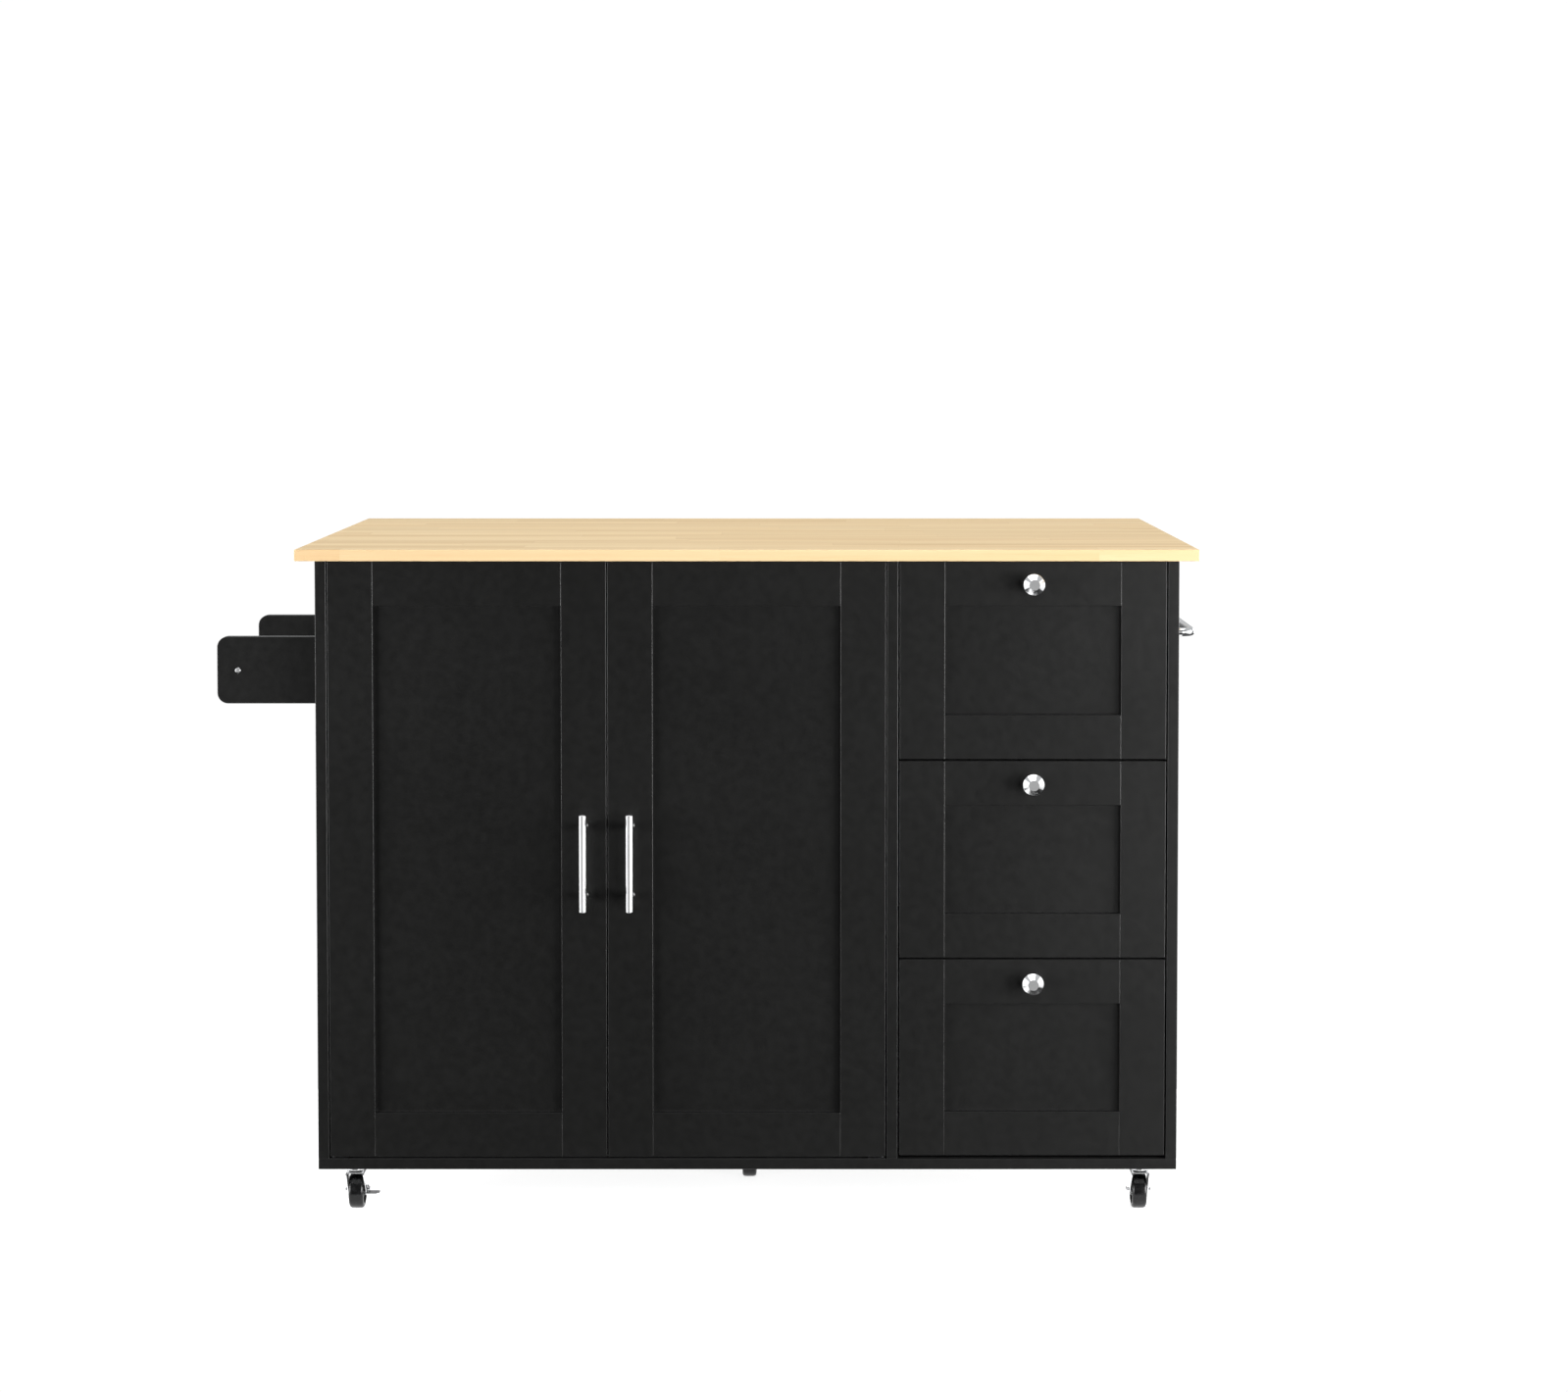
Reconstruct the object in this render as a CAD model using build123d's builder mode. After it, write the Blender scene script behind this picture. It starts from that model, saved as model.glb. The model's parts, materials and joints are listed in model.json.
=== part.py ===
from build123d import *
import math
import os

# A rolling kitchen-island table: a black cabinet with two doors and three drawers under a
# butcher-block top of glued staves, with a drop leaf at the back, a spice rack on the left side,
# a towel bar on the right side and five swivel casters. Millimetres, +Z up, +Y towards the back.
# The origin is the middle of the whole object's footprint, on the floor.

# ---------------------------------------------------------------- driving dimensions
cabinet_width = 1190.0
cabinet_depth = 406.0
board = 15.0  # thickness of the cabinet's boards
caster_height = 68.0  # floor to the underside of the bottom board
cabinet_height = 847.0
top_thickness = 16.0
top_depth = 470.0
top_side_overhang = 25.0
top_front_overhang = 20.0
leaf_gap = 0.5  # seam between the fixed top and the drop leaf
leaf_depth = 279.5
top_staves = 10
leaf_staves = 6
rack_reach = 140.0  # how far the spice rack stands out of the left side
bar_reach = 33.0  # how far the towel bar stands out of the right side
pull_reach = 35.0  # how far the door pulls stand out of the front
left_bay = 773.0  # clear width behind the doors
glue_line = 0.05  # gap that keeps two glued boards separate pieces
edge_break = 1.0  # small bevel on the edges of boards and frames

# ---------------------------------------------------------------- places that follow from them
top_reach = top_depth - top_front_overhang + leaf_gap + leaf_depth
x_left = rack_reach - (rack_reach + cabinet_width + bar_reach) / 2
x_right = x_left + cabinet_width
x_middle = (x_left + x_right) / 2
y_front = pull_reach - (pull_reach + top_reach) / 2
y_back = y_front + cabinet_depth
z_base = caster_height
z_floor = z_base + board  # top face of the bottom board
z_under = z_base + cabinet_height  # underside of the worktop
z_top = z_under + top_thickness
x_bay = x_left + board
x_divider = x_bay + left_bay
x_drawers = x_divider + board
x_drawers_end = x_right - board

os.makedirs("parts", exist_ok=True)


def slab(x, y, z, mode=Mode.ADD):
    """A rectangular board between (low, high) pairs, in the part that is being built."""
    with Locations((x[0], y[0], z[0])):
        Box(x[1] - x[0], y[1] - y[0], z[1] - z[0], align=(Align.MIN,) * 3, mode=mode)


def rod_x(radius, x, y, z, mode=Mode.ADD):
    """A round bar along X."""
    with Locations(((x[0] + x[1]) / 2, y, z)):
        Cylinder(radius, x[1] - x[0], rotation=(0, 90, 0), mode=mode)


def rod_y(radius, x, y, z, mode=Mode.ADD):
    """A round bar along Y."""
    with Locations((x, (y[0] + y[1]) / 2, z)):
        Cylinder(radius, y[1] - y[0], rotation=(90, 0, 0), mode=mode)


def rod_z(radius, x, y, z, mode=Mode.ADD):
    """A round bar along Z."""
    with Locations((x, y, (z[0] + z[1]) / 2)):
        Cylinder(radius, z[1] - z[0], mode=mode)


def save(piece, name):
    """Label a finished piece and write it as its own STEP file."""
    piece.part.label = name
    export_step(piece.part, f"parts/{name}.step")


# ---------------------------------------------------------------- cabinet boards
back_inset = 7.0  # the back sits in from the boards' rear edges
back_thickness = 5.0
y_back_panel = y_back - back_inset - back_thickness

with BuildPart() as bottom_panel:
    slab((x_left, x_right), (y_front, y_back), (z_base, z_floor))
    chamfer(bottom_panel.edges(), length=edge_break)
save(bottom_panel, "bottom_panel")

with BuildPart() as left_side_panel:
    slab((x_left, x_bay), (y_front, y_back), (z_floor, z_under))
    chamfer(left_side_panel.edges().filter_by(Axis.Z), length=edge_break)
save(left_side_panel, "left_side_panel")

with BuildPart() as right_side_panel:
    slab((x_drawers_end, x_right), (y_front, y_back), (z_floor, z_under))
    chamfer(right_side_panel.edges().filter_by(Axis.Z), length=edge_break)
save(right_side_panel, "right_side_panel")

with BuildPart() as divider_panel:
    slab((x_divider, x_drawers), (y_front, y_back_panel), (z_floor, z_under))
    chamfer(divider_panel.edges().filter_by(Axis.Z).group_by(Axis.Y)[0], length=edge_break)
save(divider_panel, "divider_panel")

with BuildPart() as back_panel:
    slab((x_bay, x_drawers_end), (y_back_panel, y_back - back_inset), (z_floor, z_under))
save(back_panel, "back_panel")

# Flat rails under the worktop tie the sides together and take the worktop's screws.
front_thickness = 16.0  # doors and drawer fronts, set flush between the sides
stretcher_width = 60.0
y_stretcher = y_front + front_thickness + 4.0

with BuildPart() as top_stretchers:
    for bay in ((x_bay, x_divider), (x_drawers, x_drawers_end)):
        slab(bay, (y_stretcher, y_stretcher + stretcher_width), (z_under - board, z_under))
        slab(bay, (y_back_panel - stretcher_width, y_back_panel), (z_under - board, z_under))
save(top_stretchers, "top_stretchers")

# Adjustable shelf behind the doors, resting on six pins.
shelf_z = 488.0  # underside of the shelf
shelf_side_gap = 1.0
shelf_y = (y_front + 30.0, y_back_panel - 2.0)
pin_radius = 2.5
pin_reach = 9.0

with BuildPart() as adjustable_shelf:
    slab((x_bay + shelf_side_gap, x_divider - shelf_side_gap), shelf_y, (shelf_z, shelf_z + board))
    chamfer(adjustable_shelf.edges().filter_by(Axis.X), length=edge_break)
save(adjustable_shelf, "adjustable_shelf")

with BuildPart() as shelf_pins:
    for y_pin in (shelf_y[0] + 40, (shelf_y[0] + shelf_y[1]) / 2, shelf_y[1] - 40):
        rod_x(pin_radius, (x_bay, x_bay + pin_reach), y_pin, shelf_z - pin_radius)
        rod_x(pin_radius, (x_divider - pin_reach, x_divider), y_pin, shelf_z - pin_radius)
save(shelf_pins, "shelf_pins")


# ---------------------------------------------------------------- butcher-block top
def staves(x, y_low, depth, count):
    """Equal wooden strips glued side by side along X."""
    pitch = depth / count
    for index in range(count):
        y = y_low + index * pitch
        slab(x, (y, y + pitch - (glue_line if index < count - 1 else 0)), (z_under, z_top))


top_x = (x_left - top_side_overhang, x_right + top_side_overhang)
y_top = y_front - top_front_overhang
y_seam = y_top + top_depth  # rear edge of the fixed top
y_leaf = y_seam + leaf_gap

with BuildPart() as worktop:
    staves(top_x, y_top, top_depth, top_staves)
    chamfer(worktop.edges().filter_by(Axis.X).group_by(Axis.Y)[0], length=edge_break)
save(worktop, "worktop")

with BuildPart() as leaf_board:
    staves(top_x, y_leaf, leaf_depth, leaf_staves)
    chamfer(leaf_board.edges().filter_by(Axis.X).group_by(Axis.Y)[-1], length=edge_break)
save(leaf_board, "leaf_board")

# ---------------------------------------------------------------- leaf hinges
# Three butt hinges under the seam. The pin is below the underside, so the leaf turns down
# a full quarter without touching the fixed top.
hinge_drop = 3.5  # hinge axis below the worktop's underside
knuckle_radius = 3.0
hinge_pin_radius = 1.5
hinge_clearance = 0.05
hinge_plate = 1.5  # thickness of a hinge leaf
hinge_length = 60.0
hinge_flap = 30.0  # width of a hinge leaf
knuckle_gap = 0.3
hinge_edge = 3.3  # plates start this far from the axis beside the other leaf's knuckles
hinge_y = (y_seam + y_leaf) / 2
hinge_z = z_under - hinge_drop
hinge_x = [x_middle + offset for offset in (-480.0, 0.0, 480.0)]
flap_z = (z_under - hinge_plate, z_under)
third = hinge_length / 3

with BuildPart() as leaf_hinges_fixed:
    for x in hinge_x:
        whole = (x - hinge_length / 2, x + hinge_length / 2)
        slab(whole, (hinge_y - hinge_flap, hinge_y - hinge_edge), flap_z)
        for end in (-1, 1):
            middle = x + end * third
            knuckle = (middle - third / 2 + knuckle_gap, middle + third / 2 - knuckle_gap)
            slab(knuckle, (hinge_y - hinge_edge, hinge_y), flap_z)
            rod_x(knuckle_radius, knuckle, hinge_y, hinge_z)
        rod_x(hinge_pin_radius, whole, hinge_y, hinge_z)
save(leaf_hinges_fixed, "leaf_hinges_fixed")

with BuildPart() as leaf_hinges_moving:
    for x in hinge_x:
        whole = (x - hinge_length / 2, x + hinge_length / 2)
        slab(whole, (hinge_y + hinge_edge, hinge_y + hinge_flap), flap_z)
        knuckle = (x - third / 2 + knuckle_gap, x + third / 2 - knuckle_gap)
        slab(knuckle, (hinge_y, hinge_y + hinge_edge), flap_z)
        rod_x(knuckle_radius, knuckle, hinge_y, hinge_z)
        rod_x(hinge_pin_radius + hinge_clearance, knuckle, hinge_y, hinge_z, mode=Mode.SUBTRACT)
save(leaf_hinges_moving, "leaf_hinges_moving")

# ---------------------------------------------------------------- leaf supports
# Two folding struts. Each hangs from a bracket under the leaf and stands in an upright channel
# on the cabinet's back, 45 degrees when the leaf is up and nearly upright when it is down.
strut_arm = 170.0  # strut pivot from the leaf's hinge axis, along the leaf
strut_drop = 14.0  # strut pivot below the leaf's hinge axis
strut_width = 12.0
strut_thickness = 12.0
strut_clear = 0.5  # strut to the cheeks on each side
cheek = 2.0  # sheet thickness of brackets and channels
strut_pin_radius = 2.5
strut_x = [x_middle - 380.0, x_middle + 380.0]
channel_y = y_back - back_inset
foot_radius = 5.0
foot_y = channel_y + cheek + foot_radius + 1.0
pivot_y = hinge_y + strut_arm
pivot_z = hinge_z - strut_drop
foot_z = pivot_z - (pivot_y - foot_y)  # a 45 degree strut
strut_length = math.hypot(pivot_y - foot_y, pivot_z - foot_z)
folded_foot_z = hinge_z - strut_arm - math.sqrt(strut_length**2 - (hinge_y - strut_drop - foot_y) ** 2)
channel_z = (folded_foot_z - 2 * foot_radius, foot_z + 3 * foot_radius)
cheek_inner = strut_width / 2 + strut_clear
cheek_outer = cheek_inner + cheek

with BuildPart() as strut_channels:
    for x in strut_x:
        slab((x - cheek_outer, x + cheek_outer), (channel_y, channel_y + cheek), channel_z)
        for side in ((x - cheek_outer, x - cheek_inner), (x + cheek_inner, x + cheek_outer)):
            slab(side, (channel_y, foot_y + foot_radius), channel_z)
save(strut_channels, "strut_channels")

with BuildPart() as strut_brackets:
    for x in strut_x:
        plate_y = (pivot_y - 60.0, pivot_y + 30.0)
        slab((x - 3 * cheek_outer / 2, x + 3 * cheek_outer / 2), plate_y, (z_under - cheek, z_under))
        for low in (x - cheek_outer, x + cheek_inner):
            with BuildSketch(Plane.YZ.offset(low)):
                with Locations((pivot_y, pivot_z)):
                    Circle(6.0)
                with Locations((pivot_y, z_under - cheek)):
                    Rectangle(28.0, 1.0, align=(Align.CENTER, Align.MIN))
                make_hull()
            extrude(amount=cheek)
        rod_x(strut_pin_radius, (x - cheek_outer - 1.5, x + cheek_outer + 1.5), pivot_y, pivot_z)
save(strut_brackets, "strut_brackets")

for side, x in zip(("left", "right"), strut_x):
    with BuildPart() as strut:
        with BuildSketch(Plane.YZ.offset(x - strut_width / 2)):
            with Locations((pivot_y, pivot_z)):
                Circle(strut_thickness / 2)
            with Locations((foot_y, foot_z)):
                Circle(foot_radius)
            make_hull()
        extrude(amount=strut_width)
        span = (x - strut_width / 2, x + strut_width / 2)
        rod_x(strut_pin_radius + hinge_clearance, span, pivot_y, pivot_z, mode=Mode.SUBTRACT)
    save(strut, f"leaf_strut_{side}")

# ---------------------------------------------------------------- framed fronts
stile = 62.0  # width of the upright frame members
rail = 61.0  # width of the cross members
recess = 7.0  # how deep the centre panel sits
panel_thickness = 5.0
tongue = 6.0  # how far the panel runs into the frame's groove


def frame_front(x, z, joined=False):
    """A frame of two full-height stiles and two rails around a recessed panel."""
    y = (y_front, y_front + front_thickness)
    inner_x = (x[0] + stile, x[1] - stile)
    inner_z = (z[0] + rail, z[1] - rail)
    rail_x = (inner_x[0] + glue_line, inner_x[1] - glue_line)
    panel = (
        (inner_x[0] - tongue, inner_x[1] + tongue),
        (y_front + recess, y_front + recess + panel_thickness),
        (inner_z[0] - tongue, inner_z[1] + tongue),
    )
    with BuildPart() as frame:
        slab((x[0], inner_x[0]), y, z)
        slab((inner_x[1], x[1]), y, z)
        slab(rail_x, y, (z[0], inner_z[0]))
        slab(rail_x, y, (inner_z[1], z[1]))
        chamfer(frame.faces().group_by(Axis.Y)[0].edges(), length=edge_break)
        slab(*panel, mode=Mode.SUBTRACT)
        if joined:
            slab(*[(low + glue_line, high - glue_line) for low, high in panel])
    return frame, panel


# ---------------------------------------------------------------- doors
door_gap = 2.0
door_z = (z_floor + 3.0, z_under - door_gap)
door_width = (left_bay - 3 * door_gap) / 2
pivot_inset = 3.5  # door pivot in from the door's outer edge and from its front face
pin_radius_door = 2.0
pin_depth = 10.0
pivot_plate = 1.5
door_plate = 2.0
pull_radius = 5.0
pull_length = 136.0
pull_centres = 96.0
post_radius = 4.0
pull_z = 499.5
door_places = {
    "left": ((x_bay + door_gap, x_bay + door_gap + door_width), 1),
    "right": ((x_divider - door_gap - door_width, x_divider - door_gap), -1),
}
y_pivot = y_front + pivot_inset

with BuildPart() as hinge_pins:
    for span, inward in door_places.values():
        edge = span[0] if inward > 0 else span[1]
        x = edge + inward * pivot_inset
        reach = sorted((edge, edge + inward * 24.0))
        slab(reach, (y_front + 1.0, y_front + 13.0), (z_floor, z_floor + pivot_plate))
        slab(reach, (y_front + 1.0, y_front + 13.0), (z_under - pivot_plate, z_under))
        rod_z(pin_radius_door, x, y_pivot, (z_floor, door_z[0] + pin_depth))
        rod_z(pin_radius_door, x, y_pivot, (door_z[1] - pin_depth, z_under))
save(hinge_pins, "hinge_pins")

for side, (span, inward) in door_places.items():
    edge = span[0] if inward > 0 else span[1]
    x = edge + inward * pivot_inset
    hole = pin_radius_door + hinge_clearance
    plate_x = sorted((edge + inward * 1.2, edge + inward * 34.0))
    plate_y = (y_front + 1.2, y_front + 12.0)
    ends = ((door_z[0], door_z[0] + door_plate), (door_z[1] - door_plate, door_z[1]))
    frame, panel = frame_front(span, door_z)
    with frame:
        for z in ends:
            slab(plate_x, plate_y, z, mode=Mode.SUBTRACT)
        rod_z(hole, x, y_pivot, (door_z[0] - 1.0, door_z[0] + pin_depth + 1.0), mode=Mode.SUBTRACT)
        rod_z(hole, x, y_pivot, (door_z[1] - pin_depth - 1.0, door_z[1] + 1.0), mode=Mode.SUBTRACT)
    save(frame, f"{side}_door_frame")

    with BuildPart() as door_panel:
        slab(*panel)
    save(door_panel, f"{side}_door_panel")

    with BuildPart() as hinge_plates:
        for z in ends:
            slab(plate_x, plate_y, z)
            rod_z(hole, x, y_pivot, (z[0] - 1.0, z[1] + 1.0), mode=Mode.SUBTRACT)
    save(hinge_plates, f"{side}_door_hinge_plates")

    free_edge = span[1] if inward > 0 else span[0]
    x = free_edge - inward * stile / 2
    bar_y = y_front - pull_reach + pull_radius
    with BuildPart() as pull:
        rod_z(pull_radius, x, bar_y, (pull_z - pull_length / 2, pull_z + pull_length / 2))
        chamfer(pull.edges(), length=0.8)
        for end in (-1, 1):
            rod_y(post_radius, x, (bar_y, y_front), pull_z + end * pull_centres / 2)
    save(pull, f"{side}_door_pull")

# ---------------------------------------------------------------- drawers
drawer_side_gap = 2.5
drawer_height = 273.0
drawer_low = [640.0, 364.0, 88.0]  # lower edge of each front, top drawer first
drawer_x = (x_drawers + drawer_side_gap, x_drawers_end - drawer_side_gap)
runner_space = 12.5
box_x = (x_drawers + runner_space, x_drawers_end - runner_space)
box_board = 12.0
box_bottom = 4.0
box_rise = 30.0  # box above the front's lower edge
box_height = 180.0
box_length = 350.0
runner_rise = 60.0  # runner's middle above the box's lower edge
channel_height = 45.0
channel_reach = 9.0
sheet = 1.5
slide_half_height = 16.0
slide_start = 3.0  # moving rail's distance from the cabinet's side
runner_y = (y_front + front_thickness + 2.0, y_front + front_thickness + box_length)
knob_radius = 15.0
knob_reach = 25.0
knob_face = 7.0
knob_neck = 6.5

with BuildPart() as cabinet_runners:
    for low in drawer_low:
        middle = low + box_rise + runner_rise
        z = (middle - channel_height / 2, middle + channel_height / 2)
        for wall, out in ((x_drawers, 1), (x_drawers_end, -1)):
            slab(sorted((wall, wall + out * sheet)), runner_y, z)
            slab(sorted((wall, wall + out * channel_reach)), runner_y, (z[0], z[0] + sheet))
            slab(sorted((wall, wall + out * channel_reach)), runner_y, (z[1] - sheet, z[1]))
save(cabinet_runners, "cabinet_runners")

for place, low in zip(("top", "middle", "bottom"), drawer_low):
    front, panel = frame_front(drawer_x, (low, low + drawer_height), joined=True)
    save(front, f"drawer_{place}_front")

    box_low = low + box_rise
    y_box = (y_front + front_thickness, y_front + front_thickness + box_length)
    inside_x = (box_x[0] + box_board + glue_line, box_x[1] - box_board - glue_line)
    with BuildPart() as drawer_box:
        for x in ((box_x[0], box_x[0] + box_board), (box_x[1] - box_board, box_x[1])):
            slab(x, y_box, (box_low, box_low + box_height))
        slab(inside_x, (y_box[1] - box_board, y_box[1]), (box_low, box_low + box_height))
        bottom_y = (y_box[0], y_box[1] - box_board - glue_line)
        slab(inside_x, bottom_y, (box_low + box_board, box_low + box_board + box_bottom))
    save(drawer_box, f"drawer_{place}_box")

    middle = box_low + runner_rise
    rail_z = (middle - slide_half_height, middle + slide_half_height)
    with BuildPart() as drawer_runners:
        slab((x_drawers + slide_start, box_x[0]), runner_y, rail_z)
        slab((box_x[1], x_drawers_end - slide_start), runner_y, rail_z)
    save(drawer_runners, f"drawer_{place}_runners")

    # A round knob: a narrow neck, a wide shoulder and a cone up to a small flat face.
    x = (drawer_x[0] + drawer_x[1]) / 2
    z = low + drawer_height - rail / 2
    with BuildPart() as knob:
        with BuildSketch(Plane.YZ.offset(x)):
            with BuildLine():
                Polyline(
                    (y_front, z),
                    (y_front, z + 8.0),
                    (y_front - 3.0, z + knob_neck),
                    (y_front - 11.0, z + knob_neck),
                    (y_front - 15.0, z + knob_radius - 1.5),
                    (y_front - 16.5, z + knob_radius),
                    (y_front - 18.0, z + knob_radius),
                    (y_front - knob_reach, z + knob_face),
                    (y_front - knob_reach, z),
                    close=True,
                )
            make_face()
        revolve(axis=Axis((x, y_front, z), (0, 1, 0)))
    save(knob, f"drawer_{place}_knob")

# ---------------------------------------------------------------- spice rack on the left side
rack_z = (714.0, 807.0)
rack_plate = 15.0
rack_length = 352.0
rack_corner = 15.0
rack_front_y = y_front + 27.0
rod_radius = 5.0
rod_from_side = 111.0
rod_z_height = 760.0
rack_shelf_depth = 118.0
rack_shelf_thickness = 12.0
rack_x = (x_left - rack_reach, x_left)
inner_y = (rack_front_y + rack_plate, rack_front_y + rack_length - rack_plate)
screw_radius = 4.0
screw_head = 1.2

for place, low in (("front", rack_front_y), ("rear", rack_front_y + rack_length - rack_plate)):
    with BuildPart() as rack_plate_part:
        slab(rack_x, (low, low + rack_plate), rack_z)
        outer = rack_plate_part.edges().filter_by(Axis.Y).group_by(Axis.X)[0]
        fillet(outer, radius=rack_corner)
        flat_faces = rack_plate_part.faces().filter_by(Axis.Y)
        chamfer(flat_faces.edges().filter_by(lambda e: e.center().X < x_left - 0.1), length=0.8)
    save(rack_plate_part, f"rack_{place}_plate")

with BuildPart() as rack_shelf:
    shelf_x = (x_left - rack_shelf_depth, x_left)
    slab(shelf_x, inner_y, (rack_z[0] + 2.0, rack_z[0] + 2.0 + rack_shelf_thickness))
save(rack_shelf, "rack_shelf")

with BuildPart() as rack_rod:
    rod_y(rod_radius, x_left - rod_from_side, inner_y, rod_z_height)
save(rack_rod, "rack_rod")

with BuildPart() as rack_screws:
    x = x_left - rod_from_side
    for face in (rack_front_y - screw_head, rack_front_y + rack_length):
        rod_y(screw_radius, x, (face, face + screw_head), rod_z_height)
save(rack_screws, "rack_screws")

# ---------------------------------------------------------------- towel bar on the right side
bar_radius = 6.0
bar_z = 809.0
bar_y = (y_front + 75.0, y_front + 331.0)
bar_bend = 15.0
x_bar = x_right + bar_reach - bar_radius

with BuildPart() as towel_bar:
    with BuildLine() as bar_path:
        FilletPolyline(
            (x_right, bar_y[0], bar_z),
            (x_bar, bar_y[0], bar_z),
            (x_bar, bar_y[1], bar_z),
            (x_right, bar_y[1], bar_z),
            radius=bar_bend,
        )
    with BuildSketch(Plane(origin=(x_right, bar_y[0], bar_z), z_dir=(1, 0, 0))):
        Circle(bar_radius)
    sweep(path=bar_path.line)
save(towel_bar, "towel_bar")

# ---------------------------------------------------------------- casters
wheel_radius = 25.0
wheel_width = 20.5
wheel_shoulder = 4.0
fork_outer = 13.5  # half width over the fork's cheeks
fork_sheet = 2.0
trail = 17.0  # wheel axle behind the swivel axis
axle_radius = 3.0
axle_half = 18.0
axle_head = 5.5
head_start = 16.2
crown_z = (56.0, 58.0)
crown_half = 15.0
swivel_gap = 0.3
plate_half = 19.0
plate_thickness = 2.0
dome_radius = 15.0
rivet_radius = 5.5
rivet_z = 53.2
caster_places = {
    "front_left": (x_left + 47.0, y_front + 37.0),
    "front_right": (x_right - 47.0, y_front + 37.0),
    "rear_left": (x_left + 47.0, y_front + 369.0),
    "rear_right": (x_right - 47.0, y_front + 369.0),
    "centre": (x_middle, y_front + 203.0),
}
brake_sides = {"front_left": 1, "rear_right": -1}  # +1: lever on the +X cheek
lever_reach = 33.0
lever_gap = 0.3
lever_sheet = 2.0
lever_ring = 7.0
lever_y = (-22.0, -6.0)  # tab in front of the axle

with BuildPart() as caster_plates:
    for x, y in caster_places.values():
        square = ((x - plate_half, x + plate_half), (y - plate_half, y + plate_half))
        slab(*square, (z_base - plate_thickness, z_base))
        rod_z(dome_radius, x, y, (crown_z[1] + swivel_gap, z_base - plate_thickness))
        rod_z(axle_radius, x, y, (rivet_z, z_base - plate_thickness))
        rod_z(rivet_radius, x, y, (rivet_z, crown_z[0] - swivel_gap))
save(caster_plates, "caster_plates")

for place, (x, y) in caster_places.items():
    axle_y = y + trail
    with BuildPart() as fork:
        slab((x - fork_outer, x + fork_outer), (y - crown_half, y + crown_half), crown_z)
        for low in (x - fork_outer, x + fork_outer - fork_sheet):
            with BuildSketch(Plane.YZ.offset(low)):
                with Locations((axle_y, wheel_radius)):
                    Circle(8.0)
                with Locations((y, crown_z[0])):
                    Rectangle(2 * crown_half, crown_z[1] - crown_z[0], align=(Align.CENTER, Align.MIN))
                make_hull()
            extrude(amount=fork_sheet)
        rod_z(axle_radius + hinge_clearance, x, y, (crown_z[0] - 1.0, crown_z[1] + 1.0), mode=Mode.SUBTRACT)
        rod_x(axle_radius, (x - axle_half, x + axle_half), axle_y, wheel_radius)
        rod_x(axle_head, (x - axle_half, x - head_start), axle_y, wheel_radius)
        rod_x(axle_head, (x + head_start, x + axle_half), axle_y, wheel_radius)
    save(fork, f"fork_{place}")

    with BuildPart() as wheel:
        tread = (x - wheel_width / 2, x + wheel_width / 2)
        rod_x(wheel_radius, tread, axle_y, wheel_radius)
        fillet(wheel.edges(), radius=wheel_shoulder)
        rod_x(axle_radius + hinge_clearance, tread, axle_y, wheel_radius, mode=Mode.SUBTRACT)
    save(wheel, f"wheel_{place}")

    if place in brake_sides:
        out = brake_sides[place]
        lever_inner = x + out * (fork_outer + lever_gap)
        ring_x = sorted((lever_inner, lever_inner + out * lever_sheet))
        tab_x = sorted((lever_inner, x + out * lever_reach))
        tab_y = (axle_y + lever_y[0], axle_y + lever_y[1])
        tab_z = (wheel_radius - lever_sheet / 2, wheel_radius + lever_sheet / 2)
        with BuildPart() as lever:
            rod_x(lever_ring, ring_x, axle_y, wheel_radius)
            slab(tab_x, tab_y, tab_z)
            rod_x(axle_radius + hinge_clearance, ring_x, axle_y, wheel_radius, mode=Mode.SUBTRACT)
        save(lever, f"brake_{place}")
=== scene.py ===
# %% [markdown]
# # A rolling kitchen island with a butcher-block top
#
# The real object is a black painted cabinet on five casters. It has two framed doors, three framed
# drawers, a spice rack on one side, a towel bar on the other, and a glued wooden top with a drop leaf.
# Its sizes, joints and places are settled already in a CAD frame. This lesson only gives it its looks:
# softened edges, turned metal, wood grain, paint and light. The frame is loaded first, because every
# place below is measured from it.

# %% Load the frame
import json
import math

import bmesh
import bpy
from mathutils import Matrix, Vector
from mathutils.geometry import convex_hull_2d

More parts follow.
